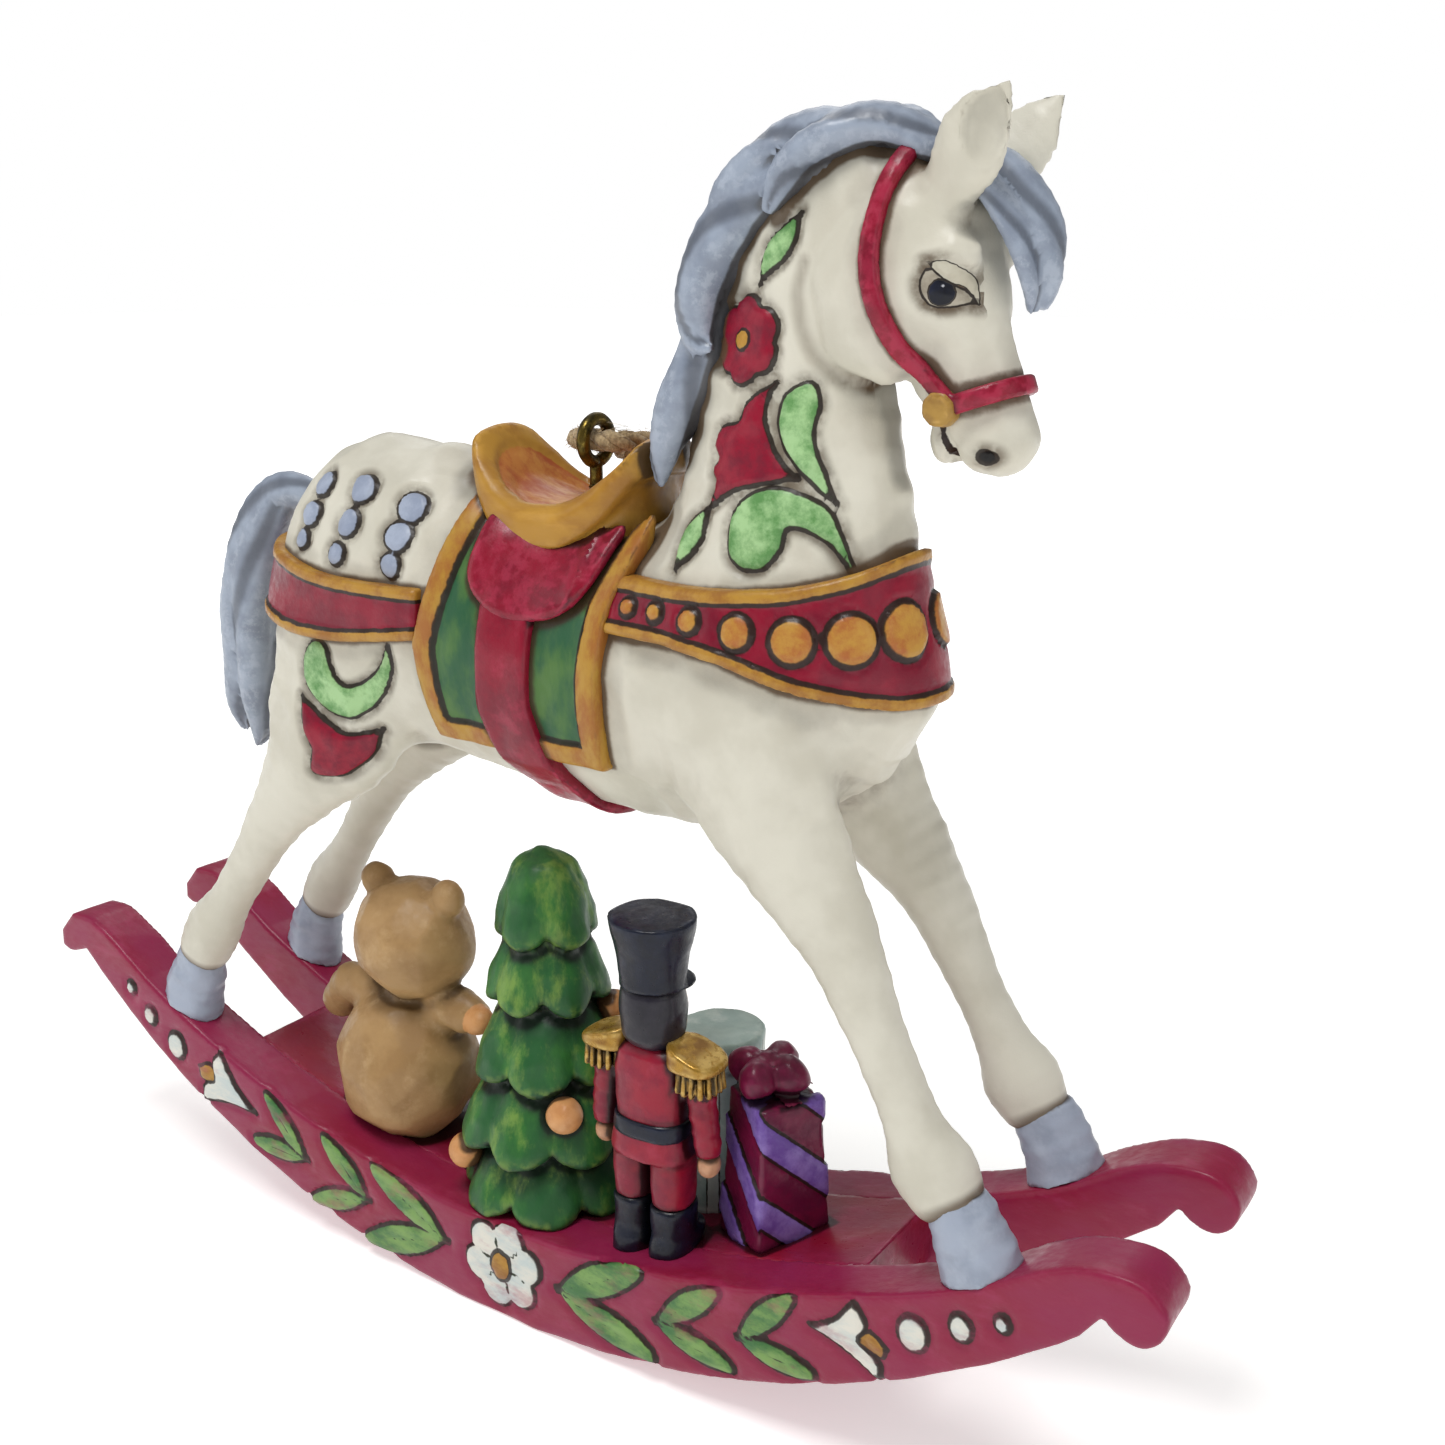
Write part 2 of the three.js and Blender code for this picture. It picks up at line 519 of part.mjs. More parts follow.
// ---------- fir tree ----------
// Each tier is [height of its hem, radius there, height of its shoulder, radius there].
const TREE = { x: 0.2, y: -2.3, tip: 45.6 };
const TIERS = [
  [10.6, 7.8, 16.0, 7.0],
  [16.2, 8.5, 23.0, 5.2],
  [23.2, 6.8, 30.4, 4.4],
  [30.6, 6.2, 36.8, 3.4],
  [37.0, 4.9, 44.4, 1.4],
];
const treeProfile = [[0, 9]];
for (const [hem, wide, shoulder, narrow] of TIERS) {
  treeProfile.push([wide - 0.8, hem - 0.5], [wide, hem + 0.8], [narrow, shoulder]);
}
treeProfile.push([0, TREE.tip]);
const tree = toSolid(
  new THREE.LatheGeometry(treeProfile.map((q) => new THREE.Vector2(...q)), 18)
    .rotateX(Math.PI / 2)
    .translate(TREE.x, TREE.y, 0),
);
add("fir_tree", GREEN, standing(tree));

// ---------- toy soldier ----------
const SOLDIER = { x: 16.4, y: -6.7 };
const block = (x, y, z0, z1, w0, d0, w1, d1) => {
  const g = new THREE.CylinderGeometry(1, 1, 1, 16, 1).rotateX(Math.PI / 2);
  const p = g.attributes.position;
  for (let i = 0; i < p.count; i++) {
    const up = p.getZ(i) + 0.5;
    p.setXYZ(
      i,
      x + (p.getX(i) * THREE.MathUtils.lerp(w0, w1, up)),
      y + (p.getY(i) * THREE.MathUtils.lerp(d0, d1, up)),
      THREE.MathUtils.lerp(z0, z1, up),
    );
  }
  return bare(g);
};
for (const [side, sign] of [["right", 1], ["left", -1]]) {
  const x = SOLDIER.x + sign * 2.15;
  add(`soldier_boot_${side}`, NAVY, standing(toSolid(block(x, SOLDIER.y, 9.5, 16.2, 2.0, 2.7, 1.9, 2.3))));
  add(`soldier_trouser_${side}`, RED, block(x, SOLDIER.y, 16.5, 20.7, 1.9, 2.2, 2.0, 2.4));
  const sleeve = limb([
    [SOLDIER.x + sign * 5.0, SOLDIER.y, 30.4, 1.3, 1.4],
    [SOLDIER.x + sign * 5.4, SOLDIER.y + 0.1, 26.6, 1.3, 1.4],
    [SOLDIER.x + sign * 5.7, SOLDIER.y + 0.3, 22.4, 1.2, 1.3],
  ], 10, 1);
  add(`soldier_sleeve_${side}`, RED, sleeve);
  add(`soldier_hand_${side}`, SKIN, ball(SOLDIER.x + sign * 5.7, SOLDIER.y + 0.3, 20.9, 1.1, 1.2, 1.15, 8, 6));
  add(`soldier_epaulette_${side}`, GOLD, block(SOLDIER.x + sign * 5.2, SOLDIER.y, 30.8, 32.1, 1.7, 2.0, 1.4, 1.5));
}
add("soldier_coat", RED, union(
  toSolid(block(SOLDIER.x, SOLDIER.y, 21.0, 24.2, 4.1, 3.1, 3.6, 2.7)),
  toSolid(block(SOLDIER.x, SOLDIER.y, 24.0, 31.4, 3.5, 2.7, 3.1, 2.3)),
));
add("soldier_head", BLACK, ball(SOLDIER.x, SOLDIER.y, 34.4, 3.3, 3.1, 2.7, 12, 8));
add("soldier_hat", NAVY, block(SOLDIER.x, SOLDIER.y, 37.4, 43.4, 3.1, 3.0, 4.0, 3.8));

// ---------- gifts ----------
const GIFT = { x: 24.8, y: -0.7, side: 8.0, top: 26.0, turn: THREE.MathUtils.degToRad(37) };
const crate = (w, d, z0, z1) => new THREE.BoxGeometry(w, d, z1 - z0).translate(0, 0, (z0 + z1) / 2);
add("gift_striped", PURPLE, standing(toSolid(
  crate(GIFT.side, GIFT.side, 9, GIFT.top).rotateZ(GIFT.turn).translate(GIFT.x, GIFT.y, 0),
)));
add("gift_bow", RED, union(
  ...[0, 1, 2, 3].map((k) => {
    const a = GIFT.turn + (k * Math.PI) / 2;
    return toSolid(ball(GIFT.x + 2.1 * Math.cos(a), GIFT.y + 2.1 * Math.sin(a), GIFT.top + 2.2, 1.9, 1.9, 1.9, 8, 6));
  }),
  toSolid(ball(GIFT.x, GIFT.y, GIFT.top + 2.2, 1.4, 1.4, 1.9, 8, 6)),
));
const HATBOX = { x: 16.5, y: 3.2, r: 3.9 };
const giftZone = toSolid(grown(
  crate(GIFT.side, GIFT.side, 9, GIFT.top).rotateZ(GIFT.turn).translate(GIFT.x, GIFT.y, 0), GAP * 1.8,
));
const hatbox = toSolid(post(HATBOX.x, HATBOX.y, 9, 26.1, HATBOX.r, HATBOX.r, 16));
add("gift_round", MINT, standing(hatbox).subtract(giftZone));
add("gift_round_lid", MINT, post(HATBOX.x, HATBOX.y, 26.4, 29.2, HATBOX.r + 0.4, HATBOX.r + 0.4, 16));

export default figure;
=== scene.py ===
"""A carved and painted rocking horse ornament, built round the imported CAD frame.

Shapes are signed distance functions in millimetres, in the frame's own axes, turned into meshes.
A function named after a thing takes points and gives their distances to it, less than 0 inside.
A mesh carries, point by point, how far it is from each painted edge, so that paint edges stay crisp.
"""
import math
import bpy
import numpy as np
from mathutils import Matrix, Vector


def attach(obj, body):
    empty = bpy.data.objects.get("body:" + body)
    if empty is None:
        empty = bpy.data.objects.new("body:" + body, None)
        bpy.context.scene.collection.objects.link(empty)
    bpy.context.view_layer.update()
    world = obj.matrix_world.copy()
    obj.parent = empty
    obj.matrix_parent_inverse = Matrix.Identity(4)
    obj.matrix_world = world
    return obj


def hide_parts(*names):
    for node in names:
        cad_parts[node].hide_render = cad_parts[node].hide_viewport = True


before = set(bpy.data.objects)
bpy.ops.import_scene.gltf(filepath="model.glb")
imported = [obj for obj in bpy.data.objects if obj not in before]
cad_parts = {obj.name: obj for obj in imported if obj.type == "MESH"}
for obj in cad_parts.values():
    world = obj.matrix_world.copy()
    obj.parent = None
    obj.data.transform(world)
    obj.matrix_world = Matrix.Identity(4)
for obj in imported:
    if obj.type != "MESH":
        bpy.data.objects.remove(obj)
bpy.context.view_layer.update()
MM = 0.001
FAR = 9.0  # a distance that counts as nowhere near
CELL = 0.42  # the usual mesh spacing
rng = np.random.default_rng(7)
LENS, SENSOR = 40.0, 36.0
AZIMUTH, ELEVATION = math.radians(33.776), math.radians(15.83)  # the view of the photograph
CAMERA_AT = (0.09301, -0.110874, 0.097729)


# ---------- camera, floor and light ----------
def make_camera():
    data = bpy.data.cameras.new("camera")
    data.lens, data.sensor_width = LENS, SENSOR
    data.clip_start, data.clip_end = 0.005, 10.0
    cam = bpy.data.objects.new("camera", data)
    bpy.context.scene.collection.objects.link(cam)
    level = math.cos(ELEVATION)
    right = Vector((math.cos(AZIMUTH), math.sin(AZIMUTH), 0))
    back = Vector((math.sin(AZIMUTH) * level, -math.cos(AZIMUTH) * level, math.sin(ELEVATION)))
    turn = Matrix((right, back.cross(right), back)).transposed().to_4x4()
    cam.matrix_world = Matrix.Translation(CAMERA_AT) @ turn
    bpy.context.scene.camera = cam


make_camera()


# ---------- distance functions ----------
def nowhere(P):
    return np.full(len(P), FAR)


def smin(a, b, k):
    h = np.clip(0.5 + 0.5 * (b - a) / k, 0, 1)
    return b + (a - b) * h - k * h * (1 - h)


def smax(a, b, k):
    return -smin(-a, -b, k)


def ellipsoid(P, centre, radii):
    q = P - np.array(centre, np.float32)
    r = np.array(radii, np.float32)
    k0 = np.sqrt(((q / r) ** 2).sum(1))
    k1 = np.sqrt(((q / (r * r)) ** 2).sum(1))
    return k0 * (k0 - 1) / np.maximum(k1, 1e-5)


def cone(P, a, b, cap):
    """An oval tube between two stations (x, y, z, half width, half depth)."""
    A, B = np.array(a[:3], np.float32), np.array(b[:3], np.float32)
    L = np.linalg.norm(B - A)
    u = (B - A) / L
    side = np.array([0, 1, 0], np.float32) if abs(u[1]) < 0.9 else np.array([1, 0, 0], np.float32)
    side = side - u * (u @ side)
    side /= np.linalg.norm(side)
    depth = np.cross(u, side)
    rel = P - A
    s = rel @ u
    t = np.clip(s / L, 0, 1)
    w = a[3] + (b[3] - a[3]) * t
    d = a[4] + (b[4] - a[4]) * t
    e = cap * np.minimum(w, d)
    qw, qd, qe = rel @ side, rel @ depth, s - t * L
    k0 = np.sqrt((qw / w) ** 2 + (qd / d) ** 2 + (qe / e) ** 2)
    k1 = np.sqrt((qw / w**2) ** 2 + (qd / d**2) ** 2 + (qe / e**2) ** 2)
    return k0 * (k0 - 1) / np.maximum(k1, 1e-4), t, qw / w, qd / d


def resample(points, sub, closed=False):
    """A Catmull-Rom curve through rows of numbers."""
    p = np.array(points, float)
    n = len(p)
    out = []
    for i in range(n if closed else n - 1):
        if closed:
            a, b, c, d = (p[(i + k) % n] for k in (-1, 0, 1, 2))
        else:
            a, b, c, d = p[max(i - 1, 0)], p[i], p[i + 1], p[min(i + 2, n - 1)]
        for j in range(sub):
            t = j / sub
            out.append(0.5 * (2 * b + (c - a) * t + (2 * a - 5 * b + 4 * c - d) * t * t
                              + (3 * b - a - 3 * c + d) * t**3))
    if not closed:
        out.append(p[-1])
    return np.array(out)


class Limb:
    """A tapered tube through stations, that can also say where along and across it a point is."""

    def __init__(self, stations, sub=2, k=0.7, cap=0.8):
        self.rows = resample(stations, sub)
        self.k, self.cap = k, cap
        r = self.rows[:, 3:5].max(1)[:, None]
        self.lo = (self.rows[:, :3] - r).min(0) - 5
        self.hi = (self.rows[:, :3] + r).max(0) + 5

    def __call__(self, P):
        out = np.maximum(np.maximum(self.lo - P, P - self.hi), 0)
        out = np.sqrt((out * out).sum(1)).astype(np.float32) + 4
        inside = np.flatnonzero(((P > self.lo) & (P < self.hi)).all(1))
        if len(inside):
            Q = P[inside]
            d = None
            for a, b in zip(self.rows[:-1], self.rows[1:]):
                c = cone(Q, a, b, self.cap)[0]
                d = c if d is None else smin(d, c, self.k)
            out[inside] = d
        return out

    def coords(self, P):
        """Distance, how far along from 0 to 1, and across from -1 to 1."""
        best = np.full(len(P), 1e9)
        along, across = np.zeros(len(P)), np.zeros(len(P))
        n = len(self.rows) - 1
        for i, (a, b) in enumerate(zip(self.rows[:-1], self.rows[1:])):
            d, t, w, e = cone(P, a, b, self.cap)
            better = d < best
            best[better] = d[better]
            along[better] = (i + t[better]) / n
            across[better] = np.arctan2(w[better], e[better])
        return best, along, across


def union(*shapes):
    return lambda P: np.minimum.reduce([f(P) for f in shapes])


def mirror_y(P):
    return np.column_stack([P[:, 0], np.abs(P[:, 1]), P[:, 2]]).astype(np.float32)


def mirror_x(P):
    return np.column_stack([np.abs(P[:, 0]), P[:, 1], P[:, 2]]).astype(np.float32)


def moved(P, x, y, z=0.0):
    """The points as seen from a place of their own."""
    return (P - np.array([x, y, z], np.float32)).astype(np.float32)


def polygon(XY, poly):
    """Signed distance to a closed outline in a plane."""
    poly = np.asarray(poly, np.float32)
    x, y = XY[:, 0], XY[:, 1]
    best = np.full(len(x), 1e9, np.float32)
    inside = np.zeros(len(x), bool)
    for (ax, ay), (bx, by) in zip(poly, np.roll(poly, -1, 0)):
        ex, ey = bx - ax, by - ay
        length = ex * ex + ey * ey
        if length < 1e-9:
            continue
        t = np.clip(((x - ax) * ex + (y - ay) * ey) / length, 0, 1)
        best = np.minimum(best, (x - ax - ex * t) ** 2 + (y - ay - ey * t) ** 2)
        if ay != by:
            cross = (ay > y) != (by > y)
            inside ^= cross & (x < (bx - ax) * (y - ay) / (by - ay) + ax)
    return np.where(inside, -1, 1) * np.sqrt(best)


def polyline(XY, line):
    """Distance to an open line in a plane."""
    best = np.full(len(XY), 1e9, np.float32)
    for (ax, ay), (bx, by) in zip(line[:-1], line[1:]):
        ex, ey = bx - ax, by - ay
        t = np.clip(((XY[:, 0] - ax) * ex + (XY[:, 1] - ay) * ey) / (ex * ex + ey * ey), 0, 1)
        best = np.minimum(best, (XY[:, 0] - ax - ex * t) ** 2 + (XY[:, 1] - ay - ey * t) ** 2)
    return np.sqrt(best)


def xz(P):
    return P[:, [0, 2]]


# ---------- meshing ----------
def evaluate(f, P, chunk=150000):
    """f at many points, a chunk at a time to save memory."""
    P = np.asarray(P, np.float32)
    if not len(P):
        return np.zeros(0)
    return np.concatenate([f(P[i : i + chunk]).astype(np.float32) for i in range(0, len(P), chunk)])


def net(f, lo, hi, h):
    """Points and quads of the zero surface of f in a box, by naive surface nets."""
    lo = np.array(lo, np.float32)
    n = np.ceil((np.array(hi) - lo) / h).astype(int) + 1
    S = 4  # cells along a block of the coarse pass, which finds the blocks near the surface
    nb = -(-n // S)
    axes = [lo[i] + (np.arange(nb[i]) * S + (S - 1) / 2) * h for i in range(3)]
    G = np.stack(np.meshgrid(*axes, indexing="ij"), -1).reshape(-1, 3)
    C = evaluate(f, G).reshape(nb)
    near = np.abs(C) < S * h * 1.4

    def spread(a):
        return a.repeat(S, 0).repeat(S, 1).repeat(S, 2)[: n[0], : n[1], : n[2]]

    V = np.where(spread(C) < 0, np.float32(-FAR), np.float32(FAR))
    mask = spread(near)
    idx = np.argwhere(mask)
    V[mask] = evaluate(f, lo + idx * np.float32(h))
    inside = V < 0
    corners = [(i, j, k) for i in (0, 1) for j in (0, 1) for k in (0, 1)]
    m = n - 1

    def at(a, c):
        return a[c[0] : c[0] + m[0], c[1] : c[1] + m[1], c[2] : c[2] + m[2]]

    count = sum(at(inside, c).astype(np.int8) for c in corners)
    active = (count > 0) & (count < 8)
    cells = np.argwhere(active)
    values = np.stack([at(V, c)[active] for c in corners], 1)
    number = np.full(m, -1)
    number[active] = np.arange(len(cells))
    total, hits = np.zeros((len(cells), 3)), np.zeros(len(cells))
    for a in range(8):
        for b in range(a + 1, 8):
            step = np.subtract(corners[b], corners[a])
            if np.abs(step).sum() != 1:
                continue
            va, vb = values[:, a], values[:, b]
            cut = (va < 0) != (vb < 0)
            t = va[cut] / (va[cut] - vb[cut])
            total[cut] += np.array(corners[a]) + t[:, None] * step
            hits[cut] += 1
    points = lo + (cells + total / hits[:, None]) * h
    quads = []
    for axis in range(3):
        u, v = (axis + 1) % 3, (axis + 2) % 3
        cut_lo = [slice(None)] * 3
        cut_hi = [slice(None)] * 3
        cut_lo[axis], cut_hi[axis] = slice(0, -1), slice(1, None)
        for ax in (u, v):
            cut_lo[ax] = cut_hi[ax] = slice(1, -1)
        a, b = inside[tuple(cut_lo)], inside[tuple(cut_hi)]
        where = np.argwhere(a != b)
        if not len(where):
            continue
        where[:, u] += 1
        where[:, v] += 1
        flip = b[a != b]
        du, dv = np.eye(3, dtype=int)[u], np.eye(3, dtype=int)[v]
        q = np.stack([number[tuple((where - o).T)] for o in (du + dv, dv, 0 * du, du)], 1)
        q[flip] = q[flip][:, ::-1]
        quads.append(q)
    return points, np.concatenate(quads)


def normals_of(points, quads):
    a, b, c, d = (points[quads[:, i]] for i in range(4))
    face = np.cross(c - a, d - b)
    n = np.zeros_like(points)
    for i in range(4):
        for axis in range(3):
            n[:, axis] += np.bincount(quads[:, i], face[:, axis], len(points))
    return n / np.maximum(np.linalg.norm(n, axis=1), 1e-9)[:, None]


def worley(P, size, seed):
    """Distance to the nearest of jittered points, one per cell."""
    cell = np.floor(P / size).astype(np.int64)
    best = np.full(len(P), 1e9)
    for i in (-1, 0, 1):
        for j in (-1, 0, 1):
            for k in (-1, 0, 1):
                c = cell + (i, j, k)
                key = (c[:, 0] * 73856093) ^ (c[:, 1] * 19349663) ^ (c[:, 2] * 83492791) ^ (seed * 2654435)
                jit = [((key * m) % 1009) / 1009.0 for m in (7919, 104729, 1299709)]
                q = (c + np.stack(jit, 1)) * size
                best = np.minimum(best, ((P - q) ** 2).sum(1))
    return np.sqrt(best)


def chips(P, size, amount, seed=3):
    """The shallow scoops that a carving knife leaves, as a displacement."""
    return -amount * (1 - np.clip(worley(P, size, seed) / (0.75 * size), 0, 1) ** 2)


def groove(d, width, depth):
    return -depth * np.exp(-((d / width) ** 2))


def raised(d, height, soft=0.18):
    return height * np.clip(0.5 - d / (2 * soft), 0, 1)


NEAR_REACH, DEEP_REACH = 0.9, 2.8  # how far off a surface counts for a crease's darker tint and painted shade, and for a hollow's painted shade


def hemmed(f, around, P, reach):
    """From 0 to 1, how closely f or what lies around it hems in points held off it by reach."""
    d = evaluate(f, P)
    if around:
        d = np.minimum(d, evaluate(around, P))
    return 1 - np.clip(d / reach, 0, 1)


def piece(name, f, lo, hi, slot, nodes, material, h=None, fields=None, relief=None, facet=None, around=None):
    """Meshes f with its relief, facets and painted fields, marks its edges, creases and hollows for
    dry-brushed paint, painted highlight and painted shade, and puts it on the figure.
    """
    h = h or CELL
    pts, quads = net(f, lo, hi, h)
    n = normals_of(pts, quads)
    pts = pts - n * np.clip(evaluate(f, pts), -h, h)[:, None]
    n = normals_of(pts, quads)
    values = {k: g(pts) for k, g in (fields or {}).items()}
    # The marks say, from 0 to 1, how hemmed in each point is close by, for a darker tint and painted shade in
    # creases; how thin the solid is behind it, for dry-brushed paint and a painted highlight on edges; and
    # how hemmed in it is further off, for painted shade in hollows.
    marks = {
        "wash_and_shade": hemmed(f, around, pts + n * NEAR_REACH, NEAR_REACH),
        "edge": 1 - np.clip(-evaluate(f, pts - n * NEAR_REACH) / NEAR_REACH, 0, 1),
        "deep": hemmed(f, around, pts + n * DEEP_REACH, DEEP_REACH),
    }
    move = np.zeros(len(pts))
    if facet:
        move += facet(pts) if callable(facet) else chips(pts, *facet)
    if relief:
        move += relief(pts, values)
    return mesh_piece(name, pts + n * move[:, None], quads.tolist(), "figure", slot, nodes, material,
                      {**values, **marks})


def mesh_piece(name, pts, faces, body, slot, nodes, material, values=None):
    mesh = bpy.data.meshes.new(name)
    mesh.from_pydata((pts * MM).tolist(), [], faces)
    mesh.polygons.foreach_set("use_smooth", [True] * len(mesh.polygons))
    for key, v in (values or {}).items():
        mesh.attributes.new(key, "FLOAT", "POINT").data.foreach_set("value", np.asarray(v, np.float32))
    mesh.materials.append(material)
    obj = bpy.data.objects.new(name, mesh)
    bpy.context.scene.collection.objects.link(obj)
    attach(obj, body)
    if nodes:
        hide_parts(*nodes)
    return obj


# ---------- materials ----------
def rgb(code):
    c = [int(code[i : i + 2], 16) / 255 for i in (0, 2, 4)]
    return tuple(x / 12.92 if x <= 0.04045 else ((x + 0.055) / 1.055) ** 2.4 for x in c) + (1.0,)


class Nodes:
    """Short ways to add shader nodes."""

    def __init__(self, name):
        self.material = bpy.data.materials.new(name)
        self.material.use_nodes = True
        self.tree = self.material.node_tree
        self.shader = self.tree.nodes["Principled BSDF"]
        where = self.add("ShaderNodeTexCoord").outputs["Object"]
        self.mm = self.add("ShaderNodeVectorMath", {"operation": "SCALE"},
                           {0: where, "Scale": 1000.0}).outputs[0]

    def add(self, kind, settings=None, inputs=None):
        n = self.tree.nodes.new(kind)
        for k, v in (settings or {}).items():
            setattr(n, k, v)
        for k, v in (inputs or {}).items():
            self.set(n.inputs[k], v)
        return n

    def set(self, socket, v):
        if isinstance(v, bpy.types.NodeSocket):
            self.tree.links.new(v, socket)
        else:
            socket.default_value = rgb(v) if isinstance(v, str) else v

    def attribute(self, name):
        return self.add("ShaderNodeAttribute", {"attribute_name": name}).outputs["Fac"]

    def noise(self, scale, detail=3.0, vector=None, roughness=0.55):
        return self.add("ShaderNodeTexNoise", None,
                        {"Vector": vector or self.mm, "Scale": scale, "Detail": detail,
                         "Roughness": roughness}).outputs["Fac"]

    def scaled(self, *factors):
        """Places stretched along the axes, for brush strokes that run one way."""
        return self.add("ShaderNodeVectorMath", {"operation": "MULTIPLY"},
                        {0: self.mm, 1: factors}).outputs[0]

    def jitter(self, scale, detail, size):
        """Noise about 0."""
        return self.math("MULTIPLY", self.math("SUBTRACT", self.noise(scale, detail), 0.5), size)

    def math(self, operation, a, b=0.0, clamp=False):
        return self.add("ShaderNodeMath", {"operation": operation, "use_clamp": clamp},
                        {0: a, 1: b}).outputs[0]

    def step(self, value, low, high, to_low=0.0, to_high=1.0):
        return self.add("ShaderNodeMapRange", {"interpolation_type": "SMOOTHSTEP"},
                        {0: value, 1: low, 2: high, 3: to_low, 4: to_high}).outputs[0]

    def mix(self, fac, a, b, blend="MIX"):
        return self.add("ShaderNodeMix", {"data_type": "RGBA", "blend_type": blend},
                        {0: fac, 6: a, 7: b}).outputs[2]

    def surface(self, colour, roughness, bump=None, fixed=None):
        """Links colour, roughness and bump (height, strength, distance), and sets fixed numbers."""
        self.set(self.shader.inputs["Base Color"], colour)
        self.set(self.shader.inputs["Roughness"], roughness)
        if bump:
            height, strength, distance = bump
            b = self.add("ShaderNodeBump", None,
                         {"Strength": strength, "Distance": distance, "Height": height})
            self.set(self.shader.inputs["Normal"], b.outputs[0])
        for name, value in (fixed or {}).items():
            self.shader.inputs[name].default_value = value
        return self.material


# BROWN is the default darker tint and painted shade for creases.
BROWN = "3c2c1c"
INK = "21170f"


def painted(name, base, tone, paints=(), wash_and_shade=BROWN, wash_and_shade_gain=0.9, wash_and_shade_from=0.2, light=None, rough=0.42,
            coat=0.2, scale=0.22, mottle=0.8,
            streak=None, metallic=0.0, bump=0.3, shade=None, shade_gain=0.5, groove_shade=None, shaded_creases=()):
    """Hand-brushed paint, with a darker tint and painted shade in creases and painted shade in hollows.
    paints are (field, colour, second colour, width of the dark line round it).
    """
    m = Nodes(name)
    vector = m.scaled(*streak) if streak else m.mm
    broad = m.noise(scale, 4.0, vector)
    fine = m.noise(1.6, 4.0, vector)
    patchy = m.noise(0.6, 5.0)
    wobble = m.jitter(0.9, 2.0, 0.26)
    colour = m.mix(m.math("MULTIPLY", m.step(broad, 0.38, 0.64), mottle), base, tone)
    if shade:
        cloud = m.math("ADD", m.attribute("deep"), m.jitter(0.25, 5.0, 0.5))
        colour = m.mix(m.step(cloud, 0.15, 0.85, 0.0, shade_gain), colour, shade)
    # Painted shade along the crease that each given field marks.
    for field, width, strength in shaded_creases:
        near = m.step(m.math("ABSOLUTE", m.attribute(field)), 0.0, width, strength, 0.0)
        colour = m.mix(near, colour, wash_and_shade)
    # Painted shade round each outlined motif, strongest at its edge and fading over about a millimetre.
    if groove_shade:
        for field, *_ in [p for p in paints if p[3]]:
            d = m.math("ABSOLUTE", m.attribute(field))
            soft = m.math("MULTIPLY", m.step(d, 0.15, 1.15, 0.75, 0.0), m.step(patchy, 0.35, 0.6, 0.25, 1.0))
            colour = m.mix(soft, colour, groove_shade)
    for field, first, second, line in paints:
        d = m.math("ADD", m.attribute(field), wobble)
        inside = m.step(d, -0.05, 0.05, 1.0, 0.0)
        brush = m.step(m.noise(0.4, 6.0, vector, 0.65), 0.36, 0.64)
        colour = m.mix(inside, colour, m.mix(brush, first, second))
        if line:
            ring = m.step(m.math("ABSOLUTE", m.math("SUBTRACT", d, line * 0.4)), line * 0.55, line, 0.95, 0.0)
            colour = m.mix(ring, colour, INK)
    # Lighter paint: dry-brushed over the raised edges, where it is also a painted highlight, and in loose dry
    # strokes.
    if light:
        edge_brush_and_highlight = m.math("MULTIPLY", m.step(m.attribute("edge"), 0.2, 0.65),
                      m.step(m.noise(0.8, 5.0), 0.42, 0.6, 0.0, 0.7))
        dry = m.math("MULTIPLY", m.step(m.noise(0.32, 6.0, vector, 0.65), 0.5, 0.7), 0.5)
        colour = m.mix(m.math("MAXIMUM", edge_brush_and_highlight, dry), colour, light)
    # A darker tint and painted shade where the surface is hemmed in: in creases, and between parts.
    crease_wash_and_shade = m.math("ADD", m.attribute("wash_and_shade"), m.jitter(0.7, 4.0, 0.4))
    colour = m.mix(m.math("MULTIPLY", m.step(crease_wash_and_shade, wash_and_shade_from, wash_and_shade_from + 0.5), wash_and_shade_gain), colour, wash_and_shade)
    height = m.math("ADD", m.math("MULTIPLY", fine, 0.6), m.math("MULTIPLY", m.noise(5.0, 2.0, vector), 0.25))
    return m.surface(colour, m.step(fine, 0.3, 0.7, rough - 0.07, rough + 0.12), (height, bump, 0.00014), {
        "Coat Weight": coat * 0.5, "Specular IOR Level": 0.3, "Coat Roughness": 0.2, "Metallic": metallic})


GREY, GREY_LIGHT = "848e9f", "b3bcca"
RED, RED_DARK = "940d2c", "740d28"
GOLD, GOLD_DARK = "b98b34", "96652a"
LEAF, LEAF_LIGHT = "5c9150", "a6cd92"

# ---------- the horse ----------
TORSO = Limb([
    [-27.8, 0, 69.5, 6.0, 7.0], [-23.8, 0, 68.3, 9, 12.6], [-17, 0, 68.4, 9.9, 14.4],
              [-7, 0, 66.2, 9.7, 13.8],
    [5, 0, 63.6, 9.3, 12.4], [16, 0, 64.0, 9.6, 13.2], [25, 0, 65.8, 9.6, 12.6], [31, 0, 67.4, 7.7, 10.5],
              [34.6, 0, 69.0, 5.1, 7.3],
], 3, 0.7, 0.6)
NECK = Limb([
    [25.2, 0, 69, 7.4, 9.8], [26.0, 0, 78, 6.6, 10.5], [26.0, 0, 86, 5.7, 8.9], [26.6, 0, 94, 4.9, 7.4],
    [29.2, 0, 100.5, 4.6, 6.4], [33.2, 0, 103.4, 4.2, 4.6],
], 3, 0.5, 0.7)
